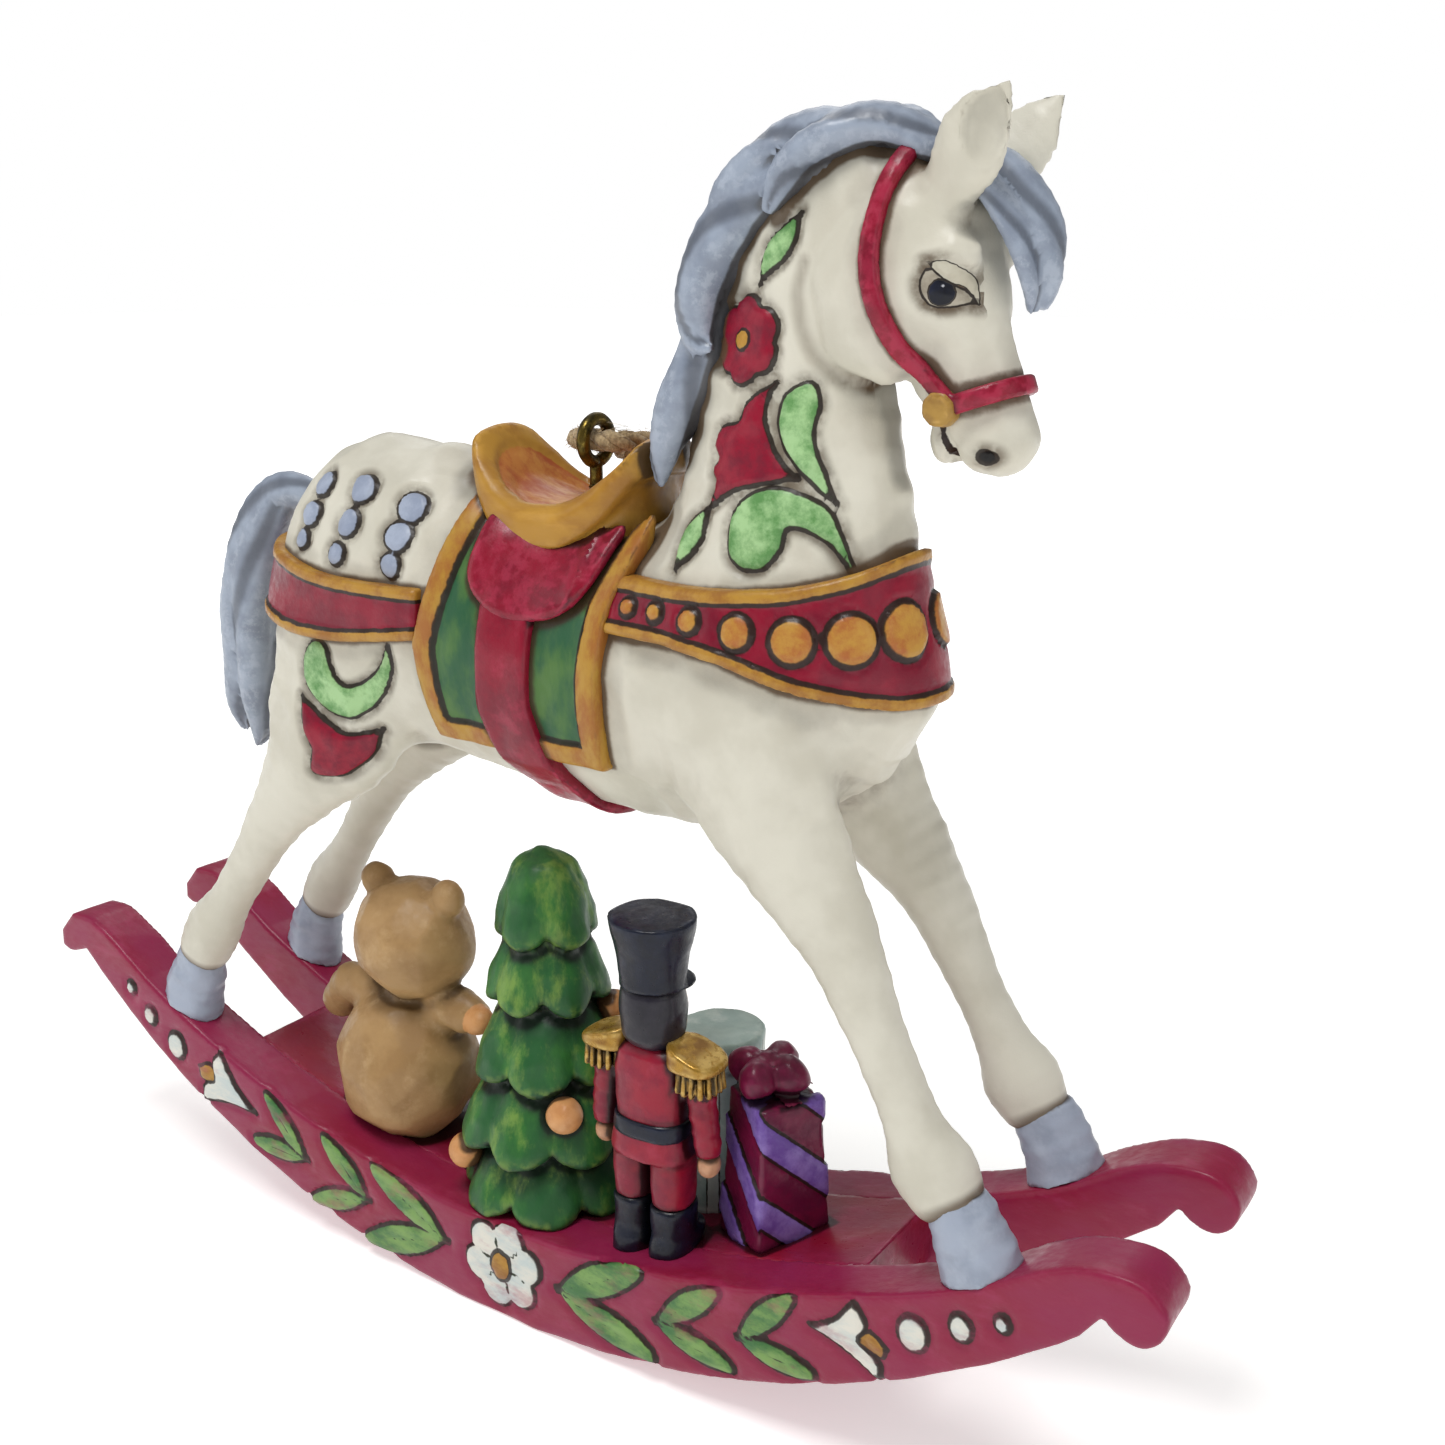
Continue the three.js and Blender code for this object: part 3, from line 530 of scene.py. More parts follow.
HEAD = Limb([
    [33.4, 0, 103.4, 3.68, 4.28], [35.6, 0, 100.2, 4.98, 6.48], [37.8, 0, 96.0, 4.68, 5.68],
             [39.9, 0, 91.9, 3.68, 4.48],
    [41.7, 0, 88.4, 3.08, 3.68], [43.0, 0, 86.2, 2.88, 3.28],
], 3, 0.4, 0.7)
FORELEG = Limb([
    [24.0, 5.8, 63.0, 3.7, 7.5], [27.2, 6.7, 57.0, 4.1, 6.7], [31.0, 7.2, 51.8, 3.7, 5.1],
                [34.2, 7.6, 47.8, 3.2, 3.8],
    [37.2, 8.0, 43.0, 2.7, 2.8], [40.2, 8.3, 37.2, 2.3, 2.3], [42.6, 8.5, 32.8, 2.4, 2.5],
                [44.4, 8.6, 29.8, 2.85, 3.6], [45.9, 8.6, 27.4, 2.65, 3.2],
], 3, 0.25, 0.7)
HINDLEG = Limb([
    [-19.8, 5.6, 62.5, 3.9, 9.1], [-22.4, 6.5, 55.5, 3.8, 8.5], [-26.2, 7.2, 49.6, 3.2, 5.3],
                [-29.6, 7.6, 45.2, 2.7, 3.5],
    [-33.5, 8.0, 39.8, 2.3, 2.5], [-37.6, 8.4, 34.0, 2.2, 2.3], [-40.8, 8.6, 29.8, 2.7, 3.1],
                [-42.6, 8.6, 26.9, 2.55, 2.8],
], 3, 0.25, 0.7)
EAR = Limb([[39.4, 2.7, 102.6, 1.3, 2.0], [41.1, 3.3, 104.9, 1.35, 2.8], [43.2, 4.2, 107.4, 1.05, 2.4],
            [45.1, 4.8, 109.7, 0.35, 0.4]], 4, 0.2, 0.7)
EYE = np.array([40.6, 4.1, 96.0], np.float32)
EYE_SLANT = (0.83, 0.55)  # cosine and sine of its slant

HOOVES = [
    Limb([[46.6, 8.6, 27.3, 2.5, 2.9], [47.9, 8.6, 24.9, 2.75, 3.4], [49.2, 8.6, 22.2, 2.85, 3.9],
          [50.0, 8.6, 19.0, 2.85, 4.0]], 2, 0.4, 0.35),
    Limb([[-43.2, 8.6, 26.4, 2.4, 2.7], [-44.2, 8.6, 23.9, 2.7, 3.2], [-45.2, 8.6, 20.4, 2.85, 3.6],
          [-45.6, 8.6, 17.0, 2.85, 3.7]], 2, 0.4, 0.35),
]
TOP_CENTRE, TOP_RADIUS = 117.0, 107.0  # the arc along the tops of the rails


def over_rail(P):
    """Above the arc along the tops of the rockers and the deck."""
    return TOP_RADIUS - np.hypot(P[:, 0], P[:, 2] - TOP_CENTRE)


def standing(P, d):
    """What is left of a shape that stands on the rails or the deck."""
    return smax(d, -over_rail(P) - 0.2, 0.2)


def hooves(P):
    return standing(P, union(*HOOVES)(mirror_y(P)))


def skin(P):
    """The horse without its ears and paint."""
    Q = mirror_y(P)
    d = smin(TORSO(Q), NECK(Q), 4.0)
    d = smin(d, FORELEG(Q), 2.6)
    d = smin(d, HINDLEG(Q), 3.0)
    near = Q[:, 2] > 78
    if near.any():
        H = Q[near]
        e = HEAD(H)
        e = smin(e, ellipsoid(H, (34.4, 2.9, 95.7), (5.9, 3.1, 6.6)), 0.8)
        e = smin(e, ellipsoid(H, (39.7, 0, 85.4), (1.6, 2.2, 2.1)), 0.6)
        e = smin(e, ellipsoid(H, (43.5, 0, 85.6), (3.05, 3.15, 2.9)), 0.5)
        e = smin(e, ellipsoid(H, (42.3, 0, 84.9), (2.1, 2.9, 2.3)), 0.3)
        e = smin(e, ellipsoid(H, (40.2, 3.1, 98.9), (3.0, 1.6, 1.5)), 1.0)
        d[near] = smin(d[near], e, 0.35)
    return d


def horse(P):
    d = skin(P)
    Q = mirror_y(P)
    near = Q[:, 2] > 98
    if near.any():
        H = Q[near]
        ear = smax(EAR(H), -ellipsoid(H, (43.5, 5.5, 106.5), (1.9, 1.5, 3.2)), 0.3)
        d[near] = smin(d[near], ear, 0.7)
    return d


def twice(point):
    """A sharp corner of a curve."""
    return [point, point]


LEAF_TOP = [*twice((28.3, 101.5)), (25.6, 99.5), *twice((24.9, 96.8)), (27.9, 99.0)]
TULIP = [*twice((27.0, 89.2)), (24.7, 87.7), (24.1, 86.2), (22.1, 85.7), (21.1, 84.4), (22.1, 83.3),
         (21.2, 82.4), (21.9, 81.5),
         *twice((21.2, 79.4)), (24.1, 81.1), *twice((29.1, 82.3)), (27.4, 84.0), (26.5, 85.8), (26.2, 87.6)]
CRESCENT = [(30.0, 89.4), (28.1, 88.4), (27.6, 86.6), (28.1, 84.8), (29.8, 82.8), *twice((32.4, 80.6)),
            (31.1, 83.4), (30.4, 85.6), (30.7, 87.8)]
PAISLEY = [(23.9, 76.9), (24.4, 79.7), (27.0, 81.3), (29.7, 81.1), (32.3, 79.5), *twice((34.1, 75.4)),
           (32.4, 77.4), (30.4, 78.5), (28.9, 78.5),
           (28.6, 76.9), (27.4, 75.5), (25.4, 75.4)]
THIN_LEAF = [*twice((21.3, 79.6)), (18.8, 77.3), *twice((18.7, 74.7)), (20.4, 76.6)]
COMMA = [(-20.8, 64.0), (-22.5, 62.6), (-22.6, 60.3), (-20.6, 57.8), (-17.2, 56.9), (-13.8, 58.8),
         (-11.6, 62.2), *twice((-11.8, 64.4)),
         (-13.4, 61.7), (-15.9, 60.1), (-17.9, 60.2), (-19.0, 61.7), (-19.5, 63.3)]
FAN = [*twice((-22.9, 58.1)), (-20.4, 56.3), (-17.4, 55.1), *twice((-14.2, 55.8)), (-15.4, 53.2),
       (-18.0, 51.2), (-20.6, 50.5),
       (-22.2, 51.0), (-21.7, 53.1), (-22.6, 55.0)]
FLOWER = (23.9, 92.4, 3.35)
DOTS = [(-21.8, 78.5, 1.3), (-16.0, 78.4, 1.45), (-10.0, 77.2, 1.5), (-22.3, 75.7, 1.25), (-16.6, 75.4, 1.35),
        (-10.5, 74.6, 1.4),
        (-23.0, 73.4, 1.0), (-17.5, 72.5, 1.05), (-10.9, 72.0, 1.1)]


def blossom(XY, x, z, r, petals=6, turn=math.pi / 2, depth=0.2):
    dx, dz = XY[:, 0] - x, XY[:, 1] - z
    angle = np.arctan2(dz, dx) - turn
    lobe = np.abs(np.cos(petals * angle / 2)) ** 0.7
    return np.hypot(dx, dz) - r * (1 - depth + depth * lobe)


def only(P, d, low):
    """A field that holds only on the flanks, |y| over low."""
    return np.where(np.abs(P[:, 1]) > low, d, FAR)


def outlines(P, shapes, low):
    XY = xz(P)
    d = nowhere(P)
    for s in shapes:
        s = resample(s, 4, True)
        lo, hi = s.min(0) - 2, s.max(0) + 2
        near = ((XY > lo) & (XY < hi)).all(1)
        if near.any():
            d[near] = np.minimum(d[near], polygon(XY[near], s))
    return only(P, d, low)


def on_skin(x, z, f=skin):
    """The y of the flank at x, z."""
    ys = np.linspace(14, 0.2, 140)
    d = f(np.column_stack([np.full(140, x), ys, np.full(140, z)]).astype(np.float32))
    hit = np.flatnonzero(d < 0)
    return float(ys[hit[0]]) if len(hit) else 0.0


def balls(P, centres):
    """Distance to round patches painted on a curved surface, on both flanks."""
    Q = mirror_y(P)
    d = nowhere(P)
    for x, y, z, r in centres:
        d = np.minimum(d, np.sqrt(((Q - (x, y, z)) ** 2).sum(1)) - r)
    return d


dot_balls = [(x, on_skin(x, z), z, r) for x, z, r in DOTS]


def eye_chart(P):
    """Places along and across the eye."""
    Q = mirror_y(P) - EYE
    c, s = EYE_SLANT
    return Q[:, 0] * c - Q[:, 2] * s, Q[:, 0] * s + Q[:, 2] * c


EYE_OPENING = [(-1.85, 0.85), (-1.85, 0.85), (-1.75, -0.2), (-1.05, -0.95), (-0.1, -1.15), (0.9, -0.5),
               (1.9, 0.5), (1.9, 0.5), (0.9, 0.8), (0, 0.64), (-0.9, 0.62)]
EYE_LID = [(-2.1, 1.0), (-2.1, 1.0), (-1.3, 1.7), (-0.1, 2.0), (1.1, 1.6), (2.1, 0.5), (2.1, 0.5),
           (0.9, 0.98), (0, 0.82), (-0.9, 0.8)]


def on_eye(P, shape):
    """Distance to an outline drawn beside the eye, on both sides of the head."""
    u, v = eye_chart(P)
    d = nowhere(P)
    near = (np.hypot(u, v) < 5) & (np.abs(P[:, 1]) > 2.2) & (P[:, 2] > 90)
    d[near] = polygon(np.column_stack([u, v])[near], resample(shape, 4, True))
    return d


def iris(P):
    u, v = eye_chart(P)
    return np.maximum(np.hypot(u + 0.2, v + 0.12) - 0.88, on_eye(P, EYE_OPENING) + 0.02)


def glint(P):
    u, v = eye_chart(P)
    return np.where((np.abs(P[:, 1]) > 2.2) & (P[:, 2] > 90), np.hypot(u + 0.45, v - 0.25) - 0.15, FAR)


JAW_LINE = resample([(29.2, 98.2), (28.6, 95.6), (29.4, 92.2), (31.6, 89.9), (34.3, 88.9)], 3)
MOUTH_LINE = [(39.3, 86.6), (39.7, 85.7), (40.1, 84.8), (40.4, 83.8), (40.7, 82.9)]


def mouth(P):
    line = polyline(xz(P), MOUTH_LINE) - 0.32
    return np.where(np.abs(P[:, 1]) > 0.3, line, FAR)


def jaw(P):
    return np.where((np.abs(P[:, 1]) > 1.5) & (P[:, 2] > 86), polyline(xz(P), JAW_LINE), FAR)


def nostril(P):
    Q = mirror_y(P)
    return np.sqrt((((Q - (43.8, 2.8, 84.4)) / (1.1, 2.2, 0.85)) ** 2).sum(1)) * 0.9 - 0.52


horse_fields = {
    "p_red": lambda P: np.minimum(outlines(P, [TULIP, FAN], 1.5), only(P, blossom(xz(P), *FLOWER), 1.5)),
    "p_green": lambda P: outlines(P, [LEAF_TOP, CRESCENT, PAISLEY, THIN_LEAF, COMMA], 1.5),
    "p_gold": lambda P: only(P, np.hypot(P[:, 0] - FLOWER[0], P[:, 2] - FLOWER[1]) - 0.75, 1.5),
    "p_grey": lambda P: balls(P, dot_balls),
    "p_eye": lambda P: on_eye(P, EYE_OPENING),
    "p_lid": lambda P: on_eye(P, EYE_LID),
    "p_hoof": hooves,
    "p_iris": iris,
    "p_mouth": mouth,
    "p_jaw": jaw,
    "p_glint": glint,
    "p_nostril": nostril,
}


def horse_relief(P, v):
    motifs = np.minimum(np.minimum(v["p_red"], v["p_green"]), v["p_grey"])
    move = groove(motifs - 0.35, 0.38, 0.42) + raised(motifs, 0.16) + raised(v["p_gold"], 0.25)
    move += groove(v["p_eye"], 0.22, 0.22) + groove(v["p_lid"], 0.2, 0.2)
    move += raised(v["p_lid"], 0.25, 0.25) + raised(v["p_iris"], 0.12)
    move -= 0.6 * np.clip(-v["p_nostril"] / 0.3, 0, 1)
    move += groove(v["p_mouth"], 0.3, 0.5) + groove(v["p_jaw"], 0.4, 0.25)
    return move


def horse_facets(P):
    """Broad flats on the body and long flats down the legs, neck and head."""
    broad = np.clip((P[:, 2] - 58) / 8, 0, 1) * np.clip((35 - P[:, 0]) / 5, 0, 1)
    calm = np.clip(np.hypot(*eye_chart(P)) - 2.6, 0, 1)
    leg = np.clip((56 - P[:, 2]) / 8, 0, 1)
    return calm * (broad * chips(P, 5.0, 0.5, 3) + (1 - broad) * (1 - 0.6 * leg)
                   * chips(P * (1.0, 1.0, 0.6), 3.4, 0.42, 5))


# On the cream: a brown tint and painted shade in the creases, painted shade in the hollows, round the motifs,
# along the jaw crease, round the eye and where the legs meet the hooves.
horse_material = painted("cream_paint", "dad6c7", "c1bcab", [
    ("p_grey", "939db2", "a8b2c5", 0.24),
    ("p_green", LEAF_LIGHT, LEAF, 0.22),
    ("p_red", RED, RED_DARK, 0.22),
    ("p_gold", GOLD, GOLD_DARK, 0.16),
    ("p_lid", "cac5b3", "bdb7a4", 0.05),
    ("p_eye", "b5ad9c", "938a7a", 0.1),
    ("p_iris", "0a0d18", "111830", 0.06),
    ("p_glint", "d0d2d8", "b8bac2", 0.0),
    ("p_mouth", "20140f", "2c1c14", 0.0),
    ("p_nostril", "14100f", "100c0b", 0.2),
], rough=0.42, scale=0.12, mottle=0.55, wash_and_shade="5a4630", shade="8c897f", shade_gain=0.75, groove_shade="54422c",
                         shaded_creases=[("p_jaw", 0.9, 0.4), ("p_eye", 0.9, 0.4), ("p_hoof", 0.8, 0.85)])


# ---------- tack ----------
def layer(P, low, high, region, soft=0.35):
    """A layer on the skin between two heights, inside a region."""
    b = skin(P)
    return smax(smax(b - high, low - b, 0.2), region, soft)


BLANKET_EDGE = [(-6.6, 56.6), (13.2, 56.8), (13.1, 64.8), (13.7, 70.8), (14.8, 74.8), (15.4, 78.4),
                (13.4, 81.5), (-2.8, 81.5), (-5.4, 71.6), (-7.1, 65.6)]
FLAP_EDGE = resample([(-1.0, 77.4), (-1.4, 72.6), (0.4, 69.9), (4.2, 68.7), (8.9, 69.8), (11.6, 72.6),
                      (12.6, 76.2), (12.9, 79.4), (7, 82), (0, 81)], 4, True)
GIRTH_EDGE = [(0.6, 74), (0.1, 61), (0.9, 56.4), (2.6, 52.6), (4.4, 46), (11.6, 46), (8.4, 52.8), (6.8, 56.6),
              (5.8, 61.8), (6.1, 74)]
COLLAR_TOP = [(9.0, 73.6), (17.9, 73.4), (22.9, 73.5), (27.0, 73.8), (30.3, 74.2), (34.6, 75.4), (38.5, 77.4),
              (42, 79.0)]
COLLAR_LOW = [(42, 65.2), (39.6, 64.8), (36.7, 65.0), (31.8, 66.1), (26.2, 67.8), (22.5, 68.4), (19.0, 68.8),
              (9.0, 69.0)]
COLLAR_EDGE = np.concatenate([resample(COLLAR_TOP, 3), resample(COLLAR_LOW, 3)])
BREECH_TOP = [(-40, 73.8), (-33, 73.0), (-28, 72.3), (-24.4, 71.7), (-19.8, 70.8), (-13.7, 70.4),
              (-3.0, 70.4)]
BREECH_LOW = [(-3.0, 66.4), (-14.2, 64.8), (-19.6, 64.5), (-24.4, 64.8), (-30, 65.8), (-38, 67.2)]
BREECH_EDGE = np.concatenate([resample(BREECH_TOP, 3), resample(BREECH_LOW, 3)])
DISCS = [(15.6, 71.2, 0.7), (18.6, 71.2, 0.72), (22.2, 71.0, 0.95), (26.6, 70.6, 1.3), (31.0, 70.2, 1.7),
         (34.9, 70.4, 1.95)]
disc_balls = [(x, on_skin(x, z) + 0.7, z, r) for x, z, r in DISCS]


def chest_x(z, y):
    """The x of the chest at y, z."""
    xs = np.linspace(44, 30, 200)
    d = skin(np.column_stack([xs, np.full(200, y), np.full(200, z)]).astype(np.float32))
    return float(xs[np.flatnonzero(d < 0)[0]])


FRONT_DISC = 2.75  # how far each front disc lies from the middle of the chest
disc_balls.append((chest_x(70.8, FRONT_DISC) + 0.5, FRONT_DISC, 70.8, 2.2))


def band(low, high, edge_points, rim, lift):
    """A layer whose rim stands a little prouder."""
    def f(P):
        region = polygon(xz(P), edge_points)
        top = high + lift * np.clip((region + rim) / 0.3 + 0.5, 0, 1)
        return layer(P, low, top, region)
    return f


draped = band(-0.6, 0.65, BLANKET_EDGE, 2.0, 0.45)


def blanket(P):
    return smax(draped(P), 4.2 - np.abs(P[:, 1]), 0.3)


collar = band(-0.6, 0.7, COLLAR_EDGE, 1.0, 0.25)
breeching = band(-0.6, 0.7, BREECH_EDGE, 1.0, 0.25)
SEAT = dict(x=4.0, half=10.0, wide=7.2, low=79.5, rise=4.8)


def seat_plan(P):
    """An oblong with well rounded corners."""
    x, y = np.abs((P[:, 0] - SEAT["x"]) / SEAT["half"]), np.abs(P[:, 1] / SEAT["wide"])
    q = (x**2.6 + y**2.6) ** (1 / 2.6)
    return (q - 1) * SEAT["wide"]


def seat_top(P):
    u = np.clip(np.abs((P[:, 0] - SEAT["x"]) / (SEAT["half"] - 1.2)), 0, 1)
    return SEAT["low"] + SEAT["rise"] * u**2.3 - 1.7 * (P[:, 1] / SEAT["wide"]) ** 2


def seat(P):
    plan = seat_plan(P)
    top = seat_top(P)
    dish = 1.3 * np.clip((-plan - 1.6) / 1.4, 0, 1) ** 0.8
    d = smax(plan, P[:, 2] - (top - dish), 1.1)
    rim = smax(d, (top - 3.6) - P[:, 2], 0.9)
    core = smax(smax(plan + 0.8, P[:, 2] - (top - dish - 0.6), 0.5), 74.0 - P[:, 2], 0.5)
    return smin(rim, core, 0.3)


def flap(P):
    return smax(layer(P, 0.4, 1.75, polygon(xz(P), FLAP_EDGE), 0.9), 4.8 - np.abs(P[:, 1]), 0.4)


def girth(P):
    region = polygon(xz(P), GIRTH_EDGE)
    high = 0.8 + 0.75 * np.clip((P[:, 2] - 53.5) / 2.5, 0, 1)
    return smax(layer(P, -0.5, high, region, 0.5), P[:, 2] - 72.5, 0.3)


NOSE_AXIS = np.array([0.323, 0, -0.946], np.float32)
NOSE_AT = np.array([42.6, 0, 88.6], np.float32)
CHEEK_LINE = resample([(36.6, 106.0), (35.7, 103.2), (35.3, 100.0), (35.5, 97.0), (36.6, 93.8), (38.4, 90.8),
                       (40.4, 88.6)], 3)


def bridle(P):
    b = skin(P)
    nose = smax(smax(b - 0.6, -0.4 - b, 0.2), np.abs((P - NOSE_AT) @ NOSE_AXIS) - 0.72, 0.3)
    nose = smax(nose, 39.2 - P[:, 0], 0.2)
    cheek = smax(smax(b - 0.7, -0.4 - b, 0.2), polyline(xz(P), CHEEK_LINE) - 0.68, 0.3)
    cheek = smax(cheek, 1.4 - np.abs(P[:, 1]), 0.3)
    return smin(nose, cheek, 0.2)


rosette_y = on_skin(40.2, 87.8)


def rosette(P):
    Q = mirror_y(P) - np.array([40.2, rosette_y + 0.4, 87.8], np.float32)
    angle = np.arctan2(Q[:, 2], Q[:, 0])
    wedge = np.pi / 4
    a = (angle + wedge / 2) % wedge - wedge / 2
    r = np.hypot(Q[:, 0], Q[:, 2]) * np.cos(a)
    return smax(r - 1.32 + 0.12 * np.clip(Q[:, 1], 0, 2), np.abs(Q[:, 1]) - 0.85, 0.35)


tack = union(blanket, collar, breeching, bridle, seat)

# ---------- hair ----------
def lock(*stations):
    return Limb(stations, 4, 0.15, 0.8)


MANE = [
    [[38.0, 0.6, 105.8, 2.0, 1.3], [34.4, 1.4, 107.7, 2.7, 1.6], [30.6, 2.6, 107.0, 2.9, 1.8],
     [27.6, 3.9, 104.6, 2.2, 1.5], [26.1, 4.7, 101.9, 0.7, 0.6]],
    [[33.6, 0.5, 106.6, 2.2, 1.6], [29.0, 1.0, 107.4, 2.6, 1.9], [24.6, 1.8, 105.8, 2.8, 2.0],
     [21.8, 2.9, 103.0, 2.2, 1.7], [20.6, 3.6, 100.9, 0.8, 0.7]],
    [[29.6, 1.2, 104.6, 2.3, 1.7], [24.6, 2.2, 103.2, 2.6, 2.2], [20.8, 3.0, 99.8, 2.6, 2.4],
     [19.0, 3.7, 95.6, 2.3, 2.1], [19.4, 4.3, 92.4, 1.2, 1.3], [21.0, 4.8, 91.6, 0.4, 0.5]],
    [[22.4, 0.8, 99.0, 2.4, 2.0], [19.6, 1.4, 95.0, 2.6, 2.2], [18.6, 2.2, 91.0, 2.5, 2.2],
     [16.9, 2.9, 87.0, 2.2, 2.2], [15.3, 3.2, 83.4, 1.5, 1.6], [14.9, 3.3, 80.6, 0.4, 0.5]],
    [[27.0, 0, 106.0, 2.2, 1.8], [21.4, 0, 101.0, 2.6, 2.2], [18.4, 0, 94.0, 2.6, 2.1],
     [17.2, 0, 87.0, 2.2, 1.9]],
]
MANE_LIMBS = [lock(*rows) for rows in MANE]
TAIL = [
    lock([-28.4, 0, 75.2, 1.8, 1.6], [-31.6, 0, 76.2, 2.0, 1.7], [-35.4, 0, 75.4, 2.6, 2.2],
         [-39.4, 0, 71.2, 3.0, 2.5], [-41.4, 0, 64.5, 3.2, 2.7], [-41.9, 0, 57.5, 2.9, 2.6],
         [-43.2, 0, 52.4, 2.0, 2.0], [-43.6, 0, 49.6, 0.6, 0.6]),
    lock([-34.6, 0.9, 74.4, 1.8, 1.8], [-38.0, 1.1, 69.4, 2.3, 2.2], [-39.4, 1.2, 62.4, 2.4, 2.3],
         [-39.6, 1.0, 55.4, 2.1, 2.2], [-40.4, 0.5, 50.6, 1.3, 1.4],
         [-41.6, 0.2, 48.0, 0.4, 0.4]),
]
FORELOCK = [
    lock([38.8, 0.2, 105.6, 2.0, 1.3], [42.6, 0.6, 104.6, 2.3, 1.3], [45.3, 0.8, 101.4, 2.4, 1.35],
         [46.3, 0.7, 97.8, 2.0, 1.2],
         [46.2, 0.3, 95.2, 0.8, 0.6]),
    lock([39.4, -1.3, 105.0, 1.5, 1.2], [42.6, -1.7, 103.2, 1.7, 1.1], [45.0, -1.6, 99.8, 1.6, 1.0],
         [45.9, -1.2, 96.6, 1.1, 0.8],
         [45.9, -0.8, 94.8, 0.4, 0.4]),
]


def strands(limbs, fold):
    """The union of locks, kept apart by creases."""
    def f(P):
        Q = mirror_y(P) if fold else P
        d = limbs[0](Q)
        for limb in limbs[1:]:
            d = smin(d, limb(Q), 0.25)
        return d
    return f


def combed(limbs, fold, lines, depth):
    """Carved strand lines that run along each lock."""
    def relief(P, v):
        Q = (mirror_y(P) if fold else P).astype(np.float32)
        best, out = np.full(len(P), 1e9), np.zeros(len(P))
        for i, limb in enumerate(limbs):
            d, along, across = limb.coords(Q)
            wave = across * lines / 2 + 1.2 * np.sin(along * 5 + i) + i
            line = -depth * np.abs(np.cos(wave)) ** 5
            better = d < best
            best[better], out[better] = d[better], line[better]
        v["p_line"] = -out / depth
        return out
    return relief


def hair_material(name):
    m = Nodes(name)
    line = m.attribute("p_line")
    colour = m.mix(m.step(m.noise(0.35, 4.0), 0.35, 0.65), GREY, "9ba6b7")
    dry = m.math("MULTIPLY", m.step(m.noise(0.8, 6.0, None, 0.7), 0.46, 0.62), m.step(line, 0.35, 0.0))
    colour = m.mix(m.math("MULTIPLY", dry, 0.5), colour, GREY_LIGHT)
    # Darker down the carved strand grooves: dark paint settled there, and painted shade.
    colour = m.mix(m.step(line, 0.4, 1.0, 0.0, 0.75), colour, "4a505c")
    # Near black where the hair is hemmed in, as where it meets the skin: painted shade, with some darker
    # tint.
    crease_wash_and_shade = m.step(m.math("ADD", m.attribute("wash_and_shade"), m.math("MULTIPLY", m.noise(0.9), 0.2)), 0.42, 0.85, 0.0,
                  0.85)
    colour = m.mix(crease_wash_and_shade, colour, "3d3a38")
    return m.surface(colour, m.step(m.noise(1.5), 0.3, 0.7, 0.36, 0.54), (m.noise(2.5, 3.0), 0.25, 0.0001), {
        "Coat Weight": 0.25, "Coat Roughness": 0.25})


GREY_HAIR = hair_material("grey_hair")


mane_f = strands(MANE_LIMBS, True)
beside = union(tack, mane_f, hooves)
piece("horse", horse, (-47, -12.5, 24), (51, 12.5, 111.5), "cream_resin",
      ["horse_body", "foreleg_left", "foreleg_right", "hindleg_left", "hindleg_right", "ear_left",
       "ear_right"],
      horse_material, fields=horse_fields, relief=horse_relief, facet=horse_facets, around=beside)
piece("mane", mane_f, (11, -8, 77), (42, 8, 111), "grey_paint", ["mane"], GREY_HAIR,
      relief=combed(MANE_LIMBS, True, 2, 0.34), facet=(5.0, 0.12), around=skin)
piece("tail", strands(TAIL, True), (-48, -5, 45), (-27, 5, 79.5), "grey_paint", ["tail"], GREY_HAIR,
      relief=combed(TAIL, True, 2, 0.34), facet=(5.0, 0.12), around=skin)
piece("forelock", strands(FORELOCK, False), (36, -5, 92), (50, 5, 108.5), "grey_paint", ["forelock"],
      GREY_HAIR,
      relief=combed(FORELOCK, False, 2, 0.3), facet=(5.0, 0.1), around=skin)

border = {"p_gold": lambda P: -(polygon(xz(P), BLANKET_EDGE) + 2.0)}
piece("saddle_blanket", blanket, (-9, -13, 54), (18, 13, 83), "green_paint",
      ["saddle_blanket", "blanket_border"],
      painted("blanket_paint", "285a3a", "587e38", [("p_gold", "b58a36", "a2662c", 0.34)], scale=0.3,
              mottle=0.7, streak=(1.0, 1.0, 0.5), coat=0.2), fields=border,
      around=union(flap, girth, seat))
RED_PAINT = painted("crimson_paint", "8d0c2a", "710d26", scale=0.25, rough=0.36, coat=0.3, wash_and_shade="24060c",
                    light="ad2a48")
piece("saddle_flaps", flap, (-4, -13.5, 66), (18, 13.5, 80), "crimson_paint",
      ["saddle_flap_left", "saddle_flap_right"], RED_PAINT,
      facet=(3.5, 0.12), around=seat)
piece("girth_strap", girth, (-2, -13.5, 45), (14, 13.5, 74), "crimson_paint", ["girth_strap"], RED_PAINT,
      facet=(3.5, 0.1), around=flap)


piece("saddle_seat", seat, (-8, -9, 72), (17, 9, 87), "tan_paint", ["saddle_seat"],
      painted("saddle_paint", "b58632", "9c6a26", [("p_dish", "bb7836", "a24f26", 0.0)], scale=0.3,
              light="cf9d45", coat=0.25, rough=0.38, streak=(0.4, 1.0, 1.0)),
      fields={"p_dish": lambda P: np.maximum(seat_plan(P) + 1.9, seat_top(P) - 2.6 - P[:, 2])},
      relief=lambda P, v: groove(v["p_dish"], 0.3, 0.2), facet=(3.2, 0.12), around=mane_f)


def gilt(points, rim):
    return lambda P: -(polygon(xz(P), points) + rim)


def disc_relief(P, v):
    return groove(v["p_disc"] - 0.25, 0.25, 0.2) + raised(v["p_disc"], 0.35)


